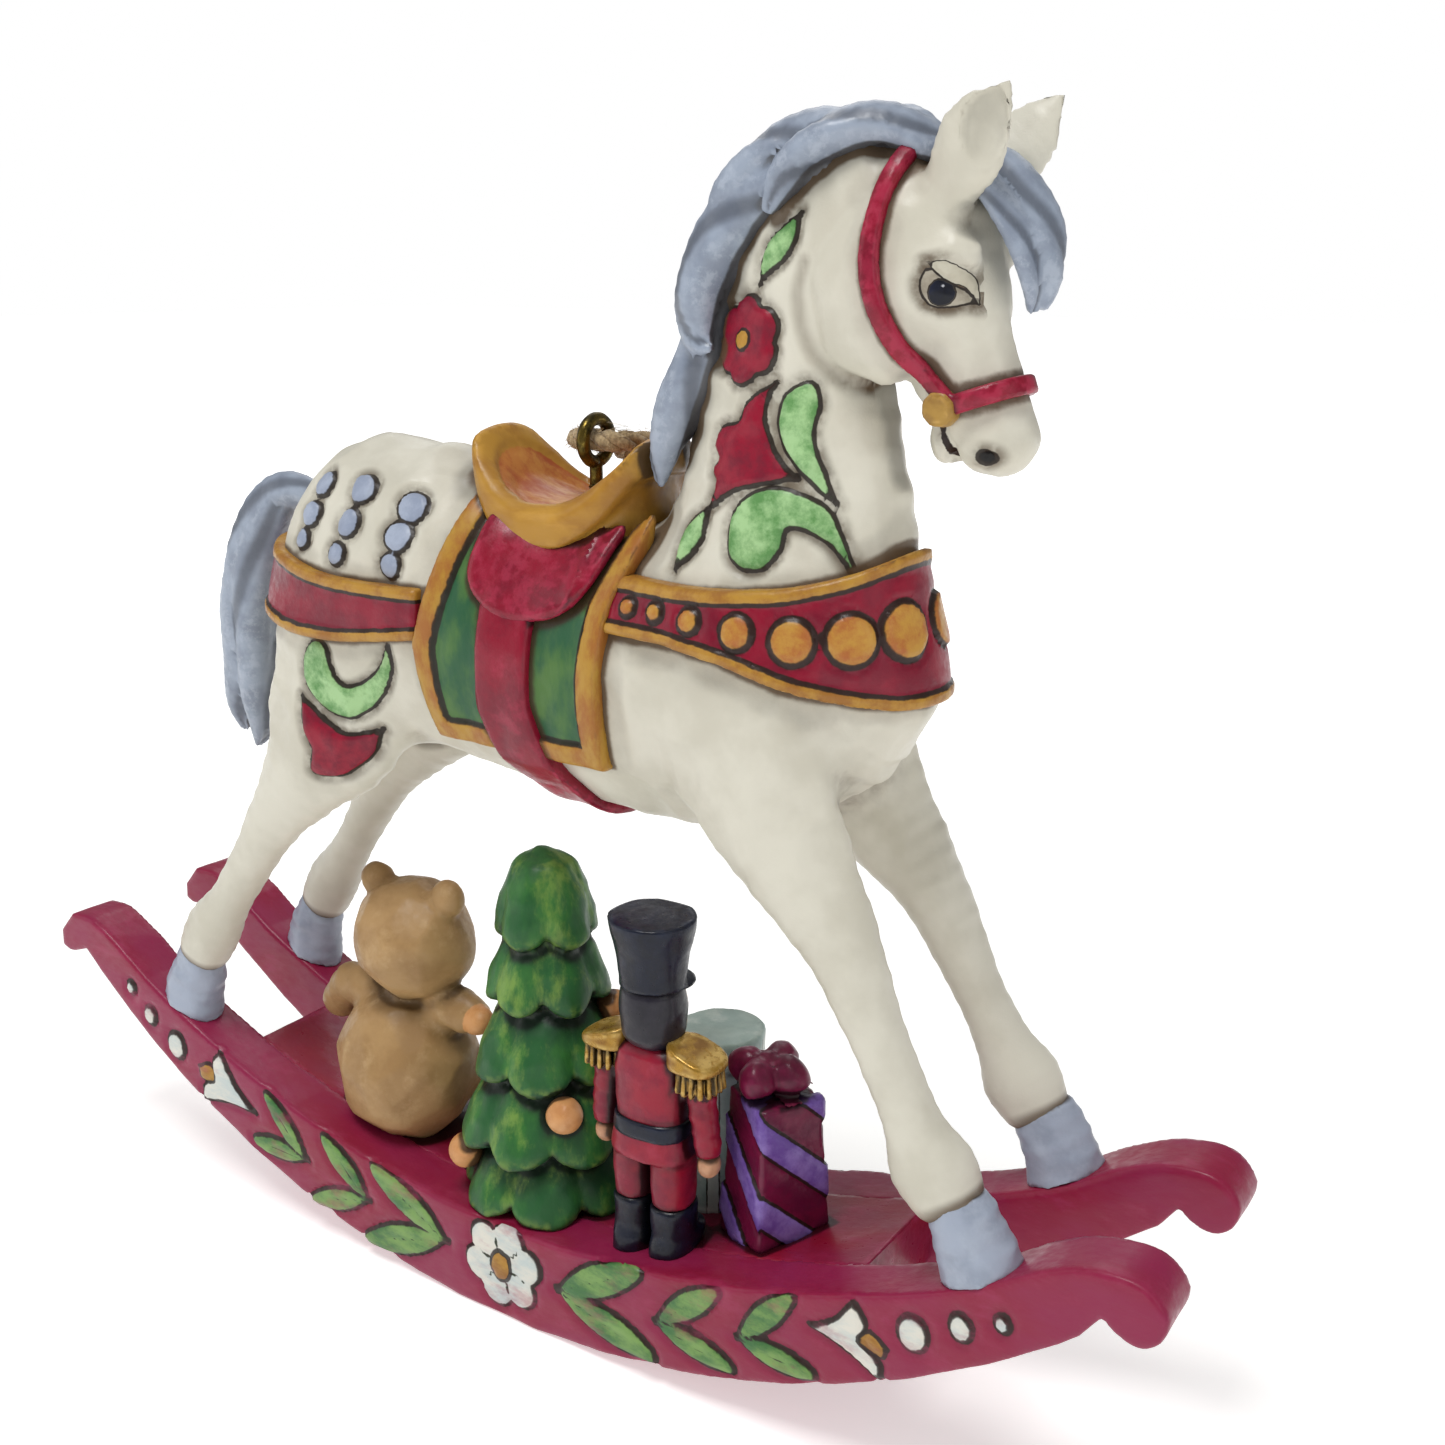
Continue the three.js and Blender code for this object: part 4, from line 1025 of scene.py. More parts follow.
STRAP_REDS = ("8c0d2b", "700d27")
STRAP_PAINTS = [("p_edge", "b88a36", "9c682a", 0.24)]
piece("breast_collar", lambda P: smax(collar(P), 13.6 - P[:, 0], 0.2), (12, -13, 62), (43, 13, 81),
      "crimson_paint", ["breast_collar"],
      painted("collar_paint", *STRAP_REDS, [*STRAP_PAINTS, ("p_disc", "bf8f3e", "ac6430", 0.34)], rough=0.38,
              coat=0.25, scale=0.3),
      fields={"p_edge": gilt(COLLAR_EDGE, 1.0), "p_disc": lambda P: balls(P, disc_balls)}, relief=disc_relief)
piece("breeching_strap", lambda P: smax(breeching(P), P[:, 0] + 6.9, 0.2), (-38, -13, 61), (-4, 13, 78),
      "crimson_paint", ["breeching_strap"],
      painted("breeching_paint", *STRAP_REDS, STRAP_PAINTS, rough=0.38, coat=0.25, scale=0.3),
      fields={"p_edge": gilt(BREECH_EDGE, 1.0)})
piece("bridle", bridle, (33, -8, 84), (50, 8, 108), "crimson_paint",
      ["noseband", "cheek_strap_left", "cheek_strap_right"], RED_PAINT, h=CELL * 0.8, around=rosette)
GILT = painted("gilt_paint", "ac863c", "8c662e", light="dfb56a", rough=0.36, coat=0.3, scale=0.5)
piece("bridle_rosettes", rosette, (38, -8.5, 85), (43, 8.5, 91), "gold_paint",
      ["bridle_rosette_left", "bridle_rosette_right"], GILT, h=CELL * 0.7)

# ---------- rockers and deck ----------
ROCK_RADIUS, FLAT, RUN_END = 90.0, 5.0, 58.2  # each rail rolls on an arc with a short flat foot in its middle
ROCK_CENTRE = math.sqrt(ROCK_RADIUS**2 - FLAT**2)
RAIL_IN, RAIL_OUT = 5.75, 11.4
PAINT_FROM = RAIL_OUT - 0.5  # motifs are on the outer faces only
DECK_HALF, DECK_THICK, DECK_SIDE = 37.7, 6, 6.35


def arc(centre, radius, x0, x1, steps):
    return [(x, centre - math.sqrt(radius**2 - x * x)) for x in np.linspace(x0, x1, steps)]


RAIL = np.array([
    *arc(ROCK_CENTRE, ROCK_RADIUS, -RUN_END, -FLAT, 22), *arc(ROCK_CENTRE, ROCK_RADIUS, FLAT, RUN_END, 22),
    *resample([(59.8, 23.4), (60.8, 22.6), (62.6, 22.1), (64.2, 23.1), (64.7, 25.2), (63.2, 27.1),
               (60.9, 27.6), (57.4, 26.9), (53.8, 25.0)], 3),
    *arc(TOP_CENTRE, TOP_RADIUS, 50, -50, 40),
    *resample([(-54.0, 25.0), (-58.6, 27.3), (-62.3, 27.3)], 3), (-64.6, 24.9), (-64.7, 22.9), (-63.2, 22.4),
                 (-60.4, 23.4),
])


def slab(P, outline, y0, y1, soft):
    d = polygon(xz(P), outline) + soft
    y = np.abs(P[:, 1] - (y0 + y1) / 2) - (y1 - y0) / 2 + soft
    return np.minimum(np.maximum(d, y), 0) + np.hypot(np.maximum(d, 0), np.maximum(y, 0)) - soft


def vesica(ax, az, bx, bz, width):
    """A pointed leaf between two points."""
    a, b = np.array((ax, az)), np.array((bx, bz))
    n = np.array([-(b - a)[1], (b - a)[0]]) / np.linalg.norm(b - a) * width / 2
    return [tuple(a), tuple(a), tuple(a + (b - a) * 0.3 + n * 0.8), tuple(a + (b - a) * 0.62 + n),
            tuple(a + (b - a) * 0.92 + n * 0.55),
            tuple(b), tuple(a + (b - a) * 0.92 - n * 0.4), tuple(a + (b - a) * 0.62 - n * 0.9),
            tuple(a + (b - a) * 0.3 - n * 0.8)]


SPRIGS = []  # pairs of leaves that share a joint: joint, upper tip, lower tip, width
for joint, high, low, wide in [
    ((-6.4, 5.6), (-16.3, 10.8), (-17.7, 1.9), 3.3), ((-17.0, 6.4), (-23.2, 11.9), (-25.5, 3.7), 2.5),
                               ((-25.9, 8.0), (-31.6, 14.2), (-34.0, 8.0), 2.3),
    ((7.9, 5.7), (17.6, 11.2), (19.1, 2.6), 3.3), ((19.2, 6.8), (26.0, 12.6), (27.6, 5.2), 2.5),
                               ((28.0, 8.8), (33.5, 15.1), (35.8, 8.0), 2.3),
]:
    SPRIGS += [vesica(*joint, *high, wide), vesica(*joint, *low, wide)]


def bell(narrow, high, low):
    """A flower that opens from a point to two flared tips."""
    n, a, b = (np.array(q, float) for q in (narrow, high, low))
    mouth_at = (a + b) / 2
    out = (mouth_at - n) / np.linalg.norm(mouth_at - n)
    points = [n, n, n * 0.5 + a * 0.5 + (mouth_at - a) * 0.14, a, a, (a + mouth_at) / 2 + out * 0.5,
              mouth_at - out * 0.5,
              (b + mouth_at) / 2 + out * 0.5, b, b, n * 0.5 + b * 0.5 + (mouth_at - b) * 0.14]
    gold = [mouth_at - out * 0.6, mouth_at + (a - b) * 0.17 + out * 0.9, mouth_at + out * 1.9,
            mouth_at + out * 1.9, mouth_at - (a - b) * 0.17 + out * 0.9]
    return points, gold


BELLS, GOLD_TIPS = zip(bell((-33.9, 11.1), (-38.4, 16.6), (-41.6, 10.4)),
                       bell((35.4, 13.0), (39.2, 16.6), (41.7, 10.5)))
RAIL_DOTS = [(-52.8, 20.6, 0.6), (-49.7, 18.1, 0.85), (-45.6, 15.6, 1.25), (44.6, 16.0, 1.25),
             (48.7, 18.2, 0.9), (52.1, 19.9, 0.55)]
FLOWER_AT = (1.1, 5.8, 4.7)


def rail_dots(P):
    XY = xz(P)
    d = nowhere(P)
    for x, z, r in RAIL_DOTS:
        d = np.minimum(d, np.hypot(XY[:, 0] - x, (XY[:, 1] - z) * 0.85) - r)
    return d


def veins(P):
    """The vein of each leaf and the lines between the flower's petals."""
    XY = xz(P)
    d = nowhere(P)
    for leaf in SPRIGS:
        end = tuple(np.array(leaf[0]) * 0.35 + np.array(leaf[5]) * 0.65)
        d = np.minimum(d, polyline(XY, [leaf[0], end]) - 0.07)
    x, z, _ = FLOWER_AT
    for k in range(6):
        a = math.radians(75 + 30 + 60 * k)
        line = [(x + r * math.cos(a), z + r * math.sin(a)) for r in (1.0, 2.9)]
        d = np.minimum(d, polyline(XY, line) - 0.16)
    return only(P, d, PAINT_FROM)


rail_fields = {
    "p_white": lambda P: np.minimum(outlines(P, BELLS, PAINT_FROM),
                                    only(P, np.minimum(rail_dots(P),
                                                       blossom(xz(P), *FLOWER_AT, 6, math.radians(75), 0.26)),
                                         PAINT_FROM)),
    "p_green": lambda P: outlines(P, SPRIGS, PAINT_FROM),
    "p_vein": veins,
    "p_gold": lambda P: np.minimum(outlines(P, GOLD_TIPS, PAINT_FROM),
                                   only(P, np.hypot(P[:, 0] - FLOWER_AT[0], (P[:, 2] - FLOWER_AT[1]) * 0.8)
                                        - 1.15, PAINT_FROM)),
}


def rail_relief(P, v):
    motifs = np.minimum(v["p_white"], v["p_green"])
    move = groove(motifs - 0.3, 0.3, 0.28) + raised(motifs, 0.22)
    return move + raised(v["p_gold"], 0.25) + groove(v["p_vein"], 0.15, 0.12)


RAIL_PAINT = painted("rocker_paint", "8f1f48", "8c1233", [
    ("p_white", "e4e1d5", "c6d1cf", 0.3), ("p_green", "3d703d", "7da258", 0.28),
                                                          ("p_vein", "1d2a16", "23321a", 0.0),
    ("p_gold", GOLD, GOLD_DARK, 0.24)], wash_and_shade="26070f", light="a2345c", rough=0.38, coat=0.25, scale=0.16,
                     streak=(0.45, 1.0, 1.0))
DECK_PAINT = painted("deck_paint", "84173a", "8e1029", wash_and_shade="1e050b", light="9c2c52", rough=0.34, coat=0.3,
                     scale=0.14, streak=(0.45, 1.0, 1.0))
for side, y0, y1 in (("right", -RAIL_OUT, -RAIL_IN), ("left", RAIL_IN, RAIL_OUT)):
    piece(f"rocker_{side}", lambda P, a=y0, b=y1: slab(P, RAIL, a, b, 0.45), (-66.5, y0 - 1.5, -1.5),
          (66.5, y1 + 1.5, 29), "rocker_red",
          [f"rocker_{side}"], RAIL_PAINT, fields=rail_fields, relief=rail_relief, facet=(5.5, 0.12))
DECK_TURN = [math.asin(DECK_HALF / TOP_RADIUS), math.asin(DECK_HALF / (TOP_RADIUS + DECK_THICK))]


def turned(radius, a0, a1):
    return [(radius * math.sin(a), TOP_CENTRE - radius * math.cos(a)) for a in np.linspace(a0, a1, 30)]


DECK = np.array([
    *turned(TOP_RADIUS, -DECK_TURN[0], DECK_TURN[0]),
                 *turned(TOP_RADIUS + DECK_THICK, DECK_TURN[1], -DECK_TURN[1])])


# ---------- hooves ----------
HOOF_PAINT = painted("hoof_paint", "a6afc0", "929bac", light=GREY_LIGHT, rough=0.4, coat=0.25, scale=0.3,
                     wash_and_shade="4a4038")
piece("hooves", hooves, (-51, -12.2, 14), (55, 12.2, 31), "grey_paint",
      ["forehoof_left", "forehoof_right", "hindhoof_left", "hindhoof_right"], HOOF_PAINT, facet=(3.4, 0.34),
      around=skin)

# ---------- teddy bear ----------
BEAR = (-18.6, -2.2)
ARMS = [Limb([[4.0, 0.2, 25.0, 2.3, 2.4], [7.0, 0.4, 25.2, 2.2, 2.3], [9.0, 0.4, 25.0, 1.9, 1.9]], 2, 0.6,
             0.8),
        Limb([[-4.4, 0.0, 25.0, 2.2, 2.3], [-8.2, 0.2, 24.4, 2.2, 2.5], [-10.6, 0.5, 22.2, 2.1, 2.4],
              [-11.3, 0.7, 20.8, 1.6, 1.7]], 2, 0.6, 0.8)]
FOOT = Limb([[3.4, 3.0, 15.2, 2.4, 2.4], [4.4, 6.4, 14.6, 2.4, 2.4], [4.7, 9.0, 14.9, 2.3, 2.7]], 2, 0.6, 0.8)


def bear(P):
    Q = moved(P, *BEAR)
    M = mirror_x(Q)
    d = ellipsoid(Q, (-0.2, -0.5, 18.0), (7.7, 7.4, 8.5))
    d = smin(d, ellipsoid(Q, (1.1, 0, 31.9), (6.7, 6.1, 6.4)), 0.5)
    d = smin(d, ellipsoid(Q, (1.1, 5.1, 30.4), (2.7, 2.5, 2.2)), 0.6)
    H = np.column_stack([np.abs(Q[:, 0] - 1.1), Q[:, 1], Q[:, 2]])
    ear = smax(ellipsoid(H, (4.7, 0, 37.2), (2.1, 1.5, 2.1)),
               -ellipsoid(H, (4.8, 1.7, 37.4), (1.3, 1.1, 1.3)), 0.3)
    d = smin(d, ear, 0.35)
    d = smin(smin(d, ARMS[0](Q), 0.7), ARMS[1](Q), 0.7)
    d = smin(d, ellipsoid(Q, (9.7, -0.2, 25.0), (1.8, 1.8, 1.8)), 0.12)
    d = smin(d, FOOT(M), 0.8)
    return standing(P, d)


def bear_spot(x, y, z, r, lean=1.1):
    def f(P):
        q = P - np.array([BEAR[0] + lean, BEAR[1], 0])
        return np.sqrt((np.abs(q[:, 0]) - x) ** 2 + (q[:, 1] - y) ** 2 + (q[:, 2] - z) ** 2) - r
    return f


bear_fields = {
    "p_paw": bear_spot(4.3, 11.6, 15.0, 2.0, 0.4),
    "p_hand": lambda P: np.sqrt(((P - (BEAR[0] + 9.7, BEAR[1] - 0.2, 25.0)) ** 2).sum(1)) - 1.95,
    "p_face": lambda P: np.minimum(np.minimum(bear_spot(2.1, 4.9, 33.4, 0.75)(P),
                                              bear_spot(0, 7.7, 31.5, 1.15)(P)),
                                   np.where(P[:, 1] > BEAR[1] + 6,
                                            polyline(xz(P) - (BEAR[0] + 1.1, 0),
                                                     [(-1, 29.2), (0, 29.7), (1, 29.2)]) - 0.15, 9)),
}
piece("bear", bear, (-31, -10.5, 9), (-6.5, 12, 41), "bear_brown",
      ["bear_body", "bear_head", "bear_arm_left", "bear_arm_right", "bear_leg_left", "bear_leg_right"],
      painted("bear_paint", "b08d5f", "9a774c",
              [("p_paw", "c8a67c", "bd9668", 0.2), ("p_hand", "d69d66", "c98a52", 0.0),
              ("p_face", "1d1512", "120d0b", 0.0)], light="c6a679", wash_and_shade="50391f", wash_and_shade_gain=0.7, rough=0.46,
              scale=0.2, coat=0.12, shade="7a5f3d",
              shade_gain=0.45), fields=bear_fields, facet=(4.2, 0.5))

# ---------- fir tree ----------
TREE = (0.3, -2.4)
TIERS = [  # hem height, radius, top height, boughs, turn
    (9.9, 9.1, 17.8, 7, 0.1), (16.0, 9.0, 24.4, 7, 0.5), (23.0, 7.4, 31.4, 6, 0.0),
           (30.4, 6.1, 38.0, 6, 0.45), (36.6, 5.1, 45.0, 5, 0.2),
]


def tree(P):
    Q = moved(P, *TREE)
    out = np.full(len(P), 6.0, np.float32)
    near = np.flatnonzero((np.hypot(Q[:, 0], Q[:, 1]) < 12) & (Q[:, 2] > 6) & (Q[:, 2] < 49))
    if not len(near):
        return out
    Q = Q[near]
    r, a, z = np.hypot(Q[:, 0], Q[:, 1]), np.arctan2(Q[:, 1], Q[:, 0]), Q[:, 2]
    d = nowhere(Q)
    for hem, wide, top, boughs, turn in TIERS:
        lobe = np.abs(np.cos(boughs * a / 2 + turn * 3))
        t = np.clip((z - hem) / (top - hem), 0, 1)
        bulge = wide * (0.30 + 0.70 * np.sqrt(np.clip(1 - t**1.6, 0, 1)))
        radius = bulge * (0.90 + 0.12 * lobe**0.8 * (1 - 0.5 * t))
        droop = hem + 1.8 * (1 - lobe**0.6) * np.clip(r / wide, 0, 1) - 0.3
        d = smin(d, smax(smax((r - radius) * 0.8, (droop - z) * 0.8, 0.9), z - top, 1.0), 0.2)
    tip = ellipsoid(Q, (0, 0, 42.6), (1.9, 1.9, 3.1))
    out[near] = smin(d, tip, 0.8)
    return standing(P, out)


BAUBLES = [(-5.9, -6.1, 14.6), (5.9, -5.2, 21.6), (4.8, 3.8, 28.8), (-3.8, 5.6, 21.2), (6.8, 3.4, 13.8),
           (-2.6, 3.8, 36.0)]


FACES = rng.normal(size=(9, 3))  # the way each flat of a bauble faces
FACES /= np.linalg.norm(FACES, axis=1)[:, None]


def baubles(P):
    d = nowhere(P)
    for x, y, z in BAUBLES:
        q = P - np.array([TREE[0] + x, TREE[1] + y, z])
        r = np.sqrt((q * q).sum(1))
        flat = np.max(np.abs(q @ FACES.T), axis=1)
        d = np.minimum(d, smax(r - 1.75, flat - 1.6, 0.15))
    return d


# The fir tree is painted near-black green shade in the gaps between its boughs, and darker green shade in its
# hollows.
piece("fir_tree", tree, (-10, -12, 9), (10.5, 8, 47.5), "green_paint", ["fir_tree"],
      painted("fir_paint", "265c30", "3c7a34", light="98b552", wash_and_shade="0a1a10", rough=0.44, scale=0.3,
              coat=0.15, wash_and_shade_from=0.12, streak=(1.0, 1.0, 0.4),
              shade="133022", shade_gain=0.75),
      facet=(2.2, 0.22), around=union(bear, baubles))
piece("baubles", baubles, (-9, -13, 11), (10, 7, 40), "hand_peach", [],
      painted("bauble_paint", "d49a62", "c48650", light="e2b382", rough=0.42, coat=0.2, scale=0.6),
      h=CELL * 0.7, around=tree)

# ---------- toy soldier ----------
SOLDIER = (16.0, -6.7)
SOLDIER_BOX = ((8, -12, 10), (25, -1.5, 46))


def soldier_frame(P):
    return moved(P, *SOLDIER)


def tower(Q, rows, soft=0.4, boxy=3.0):
    """A column of rounded oblong sections: rows of (height, half width, half depth)."""
    rows = np.array(rows, float)
    z = np.clip(Q[:, 2], rows[0, 0], rows[-1, 0])
    w, d = np.interp(z, rows[:, 0], rows[:, 1]), np.interp(z, rows[:, 0], rows[:, 2])
    k = (np.abs(Q[:, 0] / w) ** boxy + np.abs(Q[:, 1] / d) ** boxy) ** (1 / boxy)
    side = (k - 1) * np.minimum(w, d) * 0.9
    ends = np.maximum(rows[0, 0] - Q[:, 2], Q[:, 2] - rows[-1, 0])
    return smax(side, ends, soft)


SLEEVE = Limb([[4.6, 0, 30.6, 1.25, 1.4], [5.1, 0, 27.6, 1.25, 1.4], [5.5, 0.1, 24.6, 1.15, 1.3],
               [5.7, 0.2, 22.4, 1.15, 1.25]], 2, 0.4, 0.4)


def soldier_red(P):
    Q = soldier_frame(P)
    M = mirror_x(Q)
    d = tower(Q, [(21.0, 4.2, 3.1), (22.8, 3.9, 2.9), (24.6, 3.5, 2.6), (29.0, 3.7, 2.6), (31.0, 3.6, 2.3),
                  (31.9, 2.4, 1.7)], 0.4, 2.6)
    legs = tower(M - (2.05, 0, 0), [(16.3, 1.85, 2.2), (21.4, 1.95, 2.4)], 0.3, 2.4)
    return smin(smin(d, SLEEVE(M), 0.25), legs, 0.15)


def soldier_navy(P):
    Q = soldier_frame(P)
    M = mirror_x(Q)
    hat = tower(Q, [(37.2, 3.05, 2.9), (38.2, 3.05, 2.9), (40.4, 3.4, 3.2), (43.0, 3.95, 3.75),
                    (43.8, 4.05, 3.85)], 0.3, 2.1)
    brim = smax(ellipsoid(Q, (0, 1.6, 37.2), (3.1, 2.6, 0.7)), 0.3 - Q[:, 1], 0.3)
    boots = tower(M - (2.05, 0, 0), [(10.0, 2.0, 2.7), (12.2, 2.0, 2.6), (13.4, 1.85, 2.2), (16.4, 2.0, 2.4)],
                  0.4, 2.6)
    boots = smin(boots, ellipsoid(M, (2.05, 2.0, 12.6), (1.7, 2.0, 1.3)), 0.6)
    belt = tower(Q, [(23.1, 3.85, 2.95), (24.9, 3.75, 2.85)], 0.2, 2.6)
    return np.minimum.reduce([hat, brim, standing(P, boots), belt])


def soldier_head(P):
    Q = soldier_frame(P)
    d = tower(Q, [(31.4, 2.1, 2.0), (32.8, 2.85, 2.8), (35.2, 3.05, 3.0), (37.6, 2.8, 2.7)], 0.9, 2.2)
    return smin(d, ellipsoid(Q, (0, 3.2, 34.2), (0.5, 0.6, 0.6)), 0.3)


def soldier_gilt(P):
    M = mirror_x(soldier_frame(P))
    fringe = tower(M - (5.0, 0, 0), [(28.4, 2.1, 2.3), (30.6, 1.9, 2.1)], 0.25, 2.8)
    turn = np.arctan2(M[:, 1], M[:, 0] - 5.0)
    fringe = fringe + 0.45 * np.abs(np.cos(turn * 8)) ** 4
    slope = M[:, 2] - (32.5 - 0.32 * (M[:, 0] - 3.4))
    plate = smax(tower(M - (4.7, 0, 0), [(30.5, 2.5, 2.4), (33.6, 2.5, 2.4)], 0.3, 2.8), slope, 0.3)
    button = ellipsoid(M, (0, 2.95, 26.6), (0.45, 0.4, 0.45))
    upper = ellipsoid(M, (0, 2.85, 28.6), (0.45, 0.4, 0.45))
    buckle = ellipsoid(M, (0, 2.95, 24.0), (0.9, 0.4, 0.7))
    return np.minimum.reduce([fringe, plate, button, upper, buckle])


def soldier_skin(P):
    M = mirror_x(soldier_frame(P))
    return ellipsoid(M, (5.7, 0.3, 21.1), (1.05, 1.15, 1.25))


soldier = union(soldier_red, soldier_navy, soldier_head, soldier_gilt, soldier_skin)


def face_marks(P):
    Q = soldier_frame(P)
    front = Q[:, 1] > 1.0
    eyes = np.hypot(np.abs(Q[:, 0]) - 1.15, Q[:, 2] - 35.0) - 0.32
    mouth = polyline(xz(Q), [(-0.7, 33.1), (0, 32.9), (0.7, 33.1)]) - 0.1
    return np.where(front, np.minimum(eyes, mouth), FAR)


COAT_PAINT = painted("coat_paint", "96122d", "7c1230", wash_and_shade="1c060b", light="a92f48", rough=0.36, coat=0.3,
                     scale=0.4, shade="4c0a1c", shade_gain=0.5)
NAVY_PAINT = painted("navy_paint", "0a1126", "070b19", wash_and_shade="04050a", light="172139", rough=0.34, coat=0.3,
                     scale=0.5)
piece("soldier_coat", soldier_red, *SOLDIER_BOX, "crimson_paint",
      ["soldier_coat", "soldier_sleeve_left", "soldier_sleeve_right", "soldier_trouser_left",
       "soldier_trouser_right"], COAT_PAINT, h=CELL * 0.8,
      facet=(2.4, 0.1), around=union(soldier_navy, soldier_gilt))
piece("soldier_hat_boots", soldier_navy, *SOLDIER_BOX, "navy_paint",
      ["soldier_hat", "soldier_boot_left", "soldier_boot_right"], NAVY_PAINT,
      h=CELL * 0.8, facet=(2.4, 0.12), around=soldier_red)
piece("soldier_head", soldier_head, *SOLDIER_BOX, "navy_paint", ["soldier_head"],
      painted("soldier_head_paint", "221f2a", "17151f",
              [("p_face", "dcae86", "d29e78", 0.12), ("p_marks", "2a1a16", "2a1a16", 0.0)],
              rough=0.34, coat=0.4, scale=0.5), h=CELL * 0.8,
      fields={"p_face": lambda P: np.maximum(1.1 - soldier_frame(P)[:, 1],
                                             np.abs(soldier_frame(P)[:, 0]) - 2.6), "p_marks": face_marks},
      facet=(2.4, 0.1))
piece("soldier_epaulettes", soldier_gilt, *SOLDIER_BOX, "gold_paint",
      ["soldier_epaulette_left", "soldier_epaulette_right"],
      painted("epaulette_paint", "a9802f", "7d5520", light="e2c070", wash_and_shade="1c1208", rough=0.3, coat=0.3,
              scale=0.8, metallic=0.45), h=CELL * 0.6)
piece("soldier_hands", soldier_skin, *SOLDIER_BOX, "hand_peach", ["soldier_hand_left", "soldier_hand_right"],
      painted("hand_paint", "cf9d7a", "b98768", rough=0.4, coat=0.3, scale=0.8), h=CELL * 0.7,
      around=soldier_red)

# ---------- gifts ----------
GIFT = dict(x=25.1, y=-0.7, half=3.2, top=26.9, turn=math.radians(62))


def gift_frame(P):
    c, s = math.cos(GIFT["turn"]), math.sin(GIFT["turn"])
    x, y = P[:, 0] - GIFT["x"], P[:, 1] - GIFT["y"]
    return np.column_stack([x * c + y * s, y * c - x * s, P[:, 2]]).astype(np.float32)


def gift(P):
    Q = gift_frame(P)
    grow = 1 + 0.2 * np.clip((GIFT["top"] - Q[:, 2]) / 14, 0, 1) ** 1.4
    side = np.maximum(np.abs(Q[:, 0]), np.abs(Q[:, 1])) / grow - GIFT["half"]
    d = smax(smax(np.abs(Q[:, 0]) / grow - GIFT["half"], np.abs(Q[:, 1]) / grow - GIFT["half"], 0.4),
             Q[:, 2] - GIFT["top"], 0.5)
    return standing(P, np.maximum(d, side - 0.3))


def stripes(P):
    """Bands that wind down round the four sides."""
    Q = gift_frame(P)
    x, y, h = Q[:, 0], Q[:, 1], GIFT["half"]
    around = np.where(np.abs(x) > np.abs(y), np.where(x < 0, -y - 2 * h, y + 2 * h),
                      np.where(y < 0, x, 4 * h - x))
    t = (Q[:, 2] + 0.9 * around + 4.6) % 7.5
    return np.abs(t - 3.75) - 1.55


def bow(P):
    Q = moved(gift_frame(P), 0, 0, GIFT["top"])
    K = moved(Q, -0.6, 0.4)  # the knot sits off the middle
    d = ellipsoid(K, (0, 0, 2.4), (1.3, 1.3, 1.5))
    for a in (0.5, 2.1, 3.7, 5.3):
        c, s = math.cos(a), math.sin(a)
        R = np.column_stack([K[:, 0] * c + K[:, 1] * s, K[:, 1] * c - K[:, 0] * s, K[:, 2]])
        d = smin(d, ellipsoid(R, (2.0, 0, 1.9), (2.1, 1.75, 1.9)), 0.12)
    x, y = np.abs(Q[:, 0]), np.abs(Q[:, 1])
    ribbon = smax(np.minimum(x, y) - 0.9, np.maximum(x, y) - GIFT["half"] - 0.3, 0.2)
    ribbon = smax(smax(ribbon, Q[:, 2] - 0.35, 0.2), -0.6 - Q[:, 2], 0.1)
    return smin(d, ribbon, 0.2)


piece("gift_striped", gift, (19, -7.5, 11), (33, 6.5, 29.5), "purple_paint", ["gift_striped"],
      painted("gift_paint", "74123c", "5a0f34", [("p_lilac", "8c72bc", "6c4ca0", 0.26)], wash_and_shade="1d0914",
              rough=0.36, coat=0.3, scale=0.4),
      fields={"p_lilac": stripes},
      relief=lambda P, v: raised(v["p_lilac"], 0.25) + groove(v["p_lilac"] - 0.2, 0.25, 0.15),
      facet=(3.0, 0.12), around=bow)
piece("gift_bow", bow, (19, -7.5, 27), (33, 6.5, 33.5), "maroon_paint", ["gift_bow"],
      painted("bow_paint", "701039", "520d2c", wash_and_shade="1c050d", light="8c2450", rough=0.36, coat=0.3,
              scale=0.5), h=CELL * 0.8, facet=(2.4, 0.25), around=gift)
HATBOX = dict(x=16.5, y=3.2, r=3.9)


def hatbox(P):
    Q = moved(P, HATBOX["x"], HATBOX["y"])
    r = np.hypot(Q[:, 0], Q[:, 1])
    body = smax(r - HATBOX["r"], Q[:, 2] - 26.6, 0.3)
    lid = smax(smax(r - HATBOX["r"] - 0.4, Q[:, 2] - 29.2, 0.5), 26.3 - Q[:, 2], 0.3)
    return standing(P, np.minimum(body, lid))


def lid_band(P):
    """Short upright strokes round the box, below the top of its lid."""
    round_it = np.arctan2(P[:, 1] - HATBOX["y"], P[:, 0] - HATBOX["x"]) * 4.1
    return np.where(P[:, 2] > 28.8, FAR, 0) + np.abs(round_it % 3.2 - 1.6) - 0.6


piece("gift_round", hatbox, (12, -3, 9), (23, 8.5, 33), "mint_paint", ["gift_round", "gift_round_lid"],
      painted("mint_paint", "b4cbc4", "9db8b2", [("p_band", "d8e4dc", "c8d8d0", 0.12)], light="e2ebe4",
              rough=0.42, coat=0.25, scale=0.3),
      fields={"p_band": lid_band}, facet=(3.0, 0.15))
piece("deck", lambda P: slab(P, DECK, -DECK_SIDE, DECK_SIDE, 0.12), (-40, -7.5, 2), (40, 7.5, 19),
      "rocker_red", ["deck"], DECK_PAINT, facet=(5.0, 0.1), around=union(bear, tree, soldier, gift))


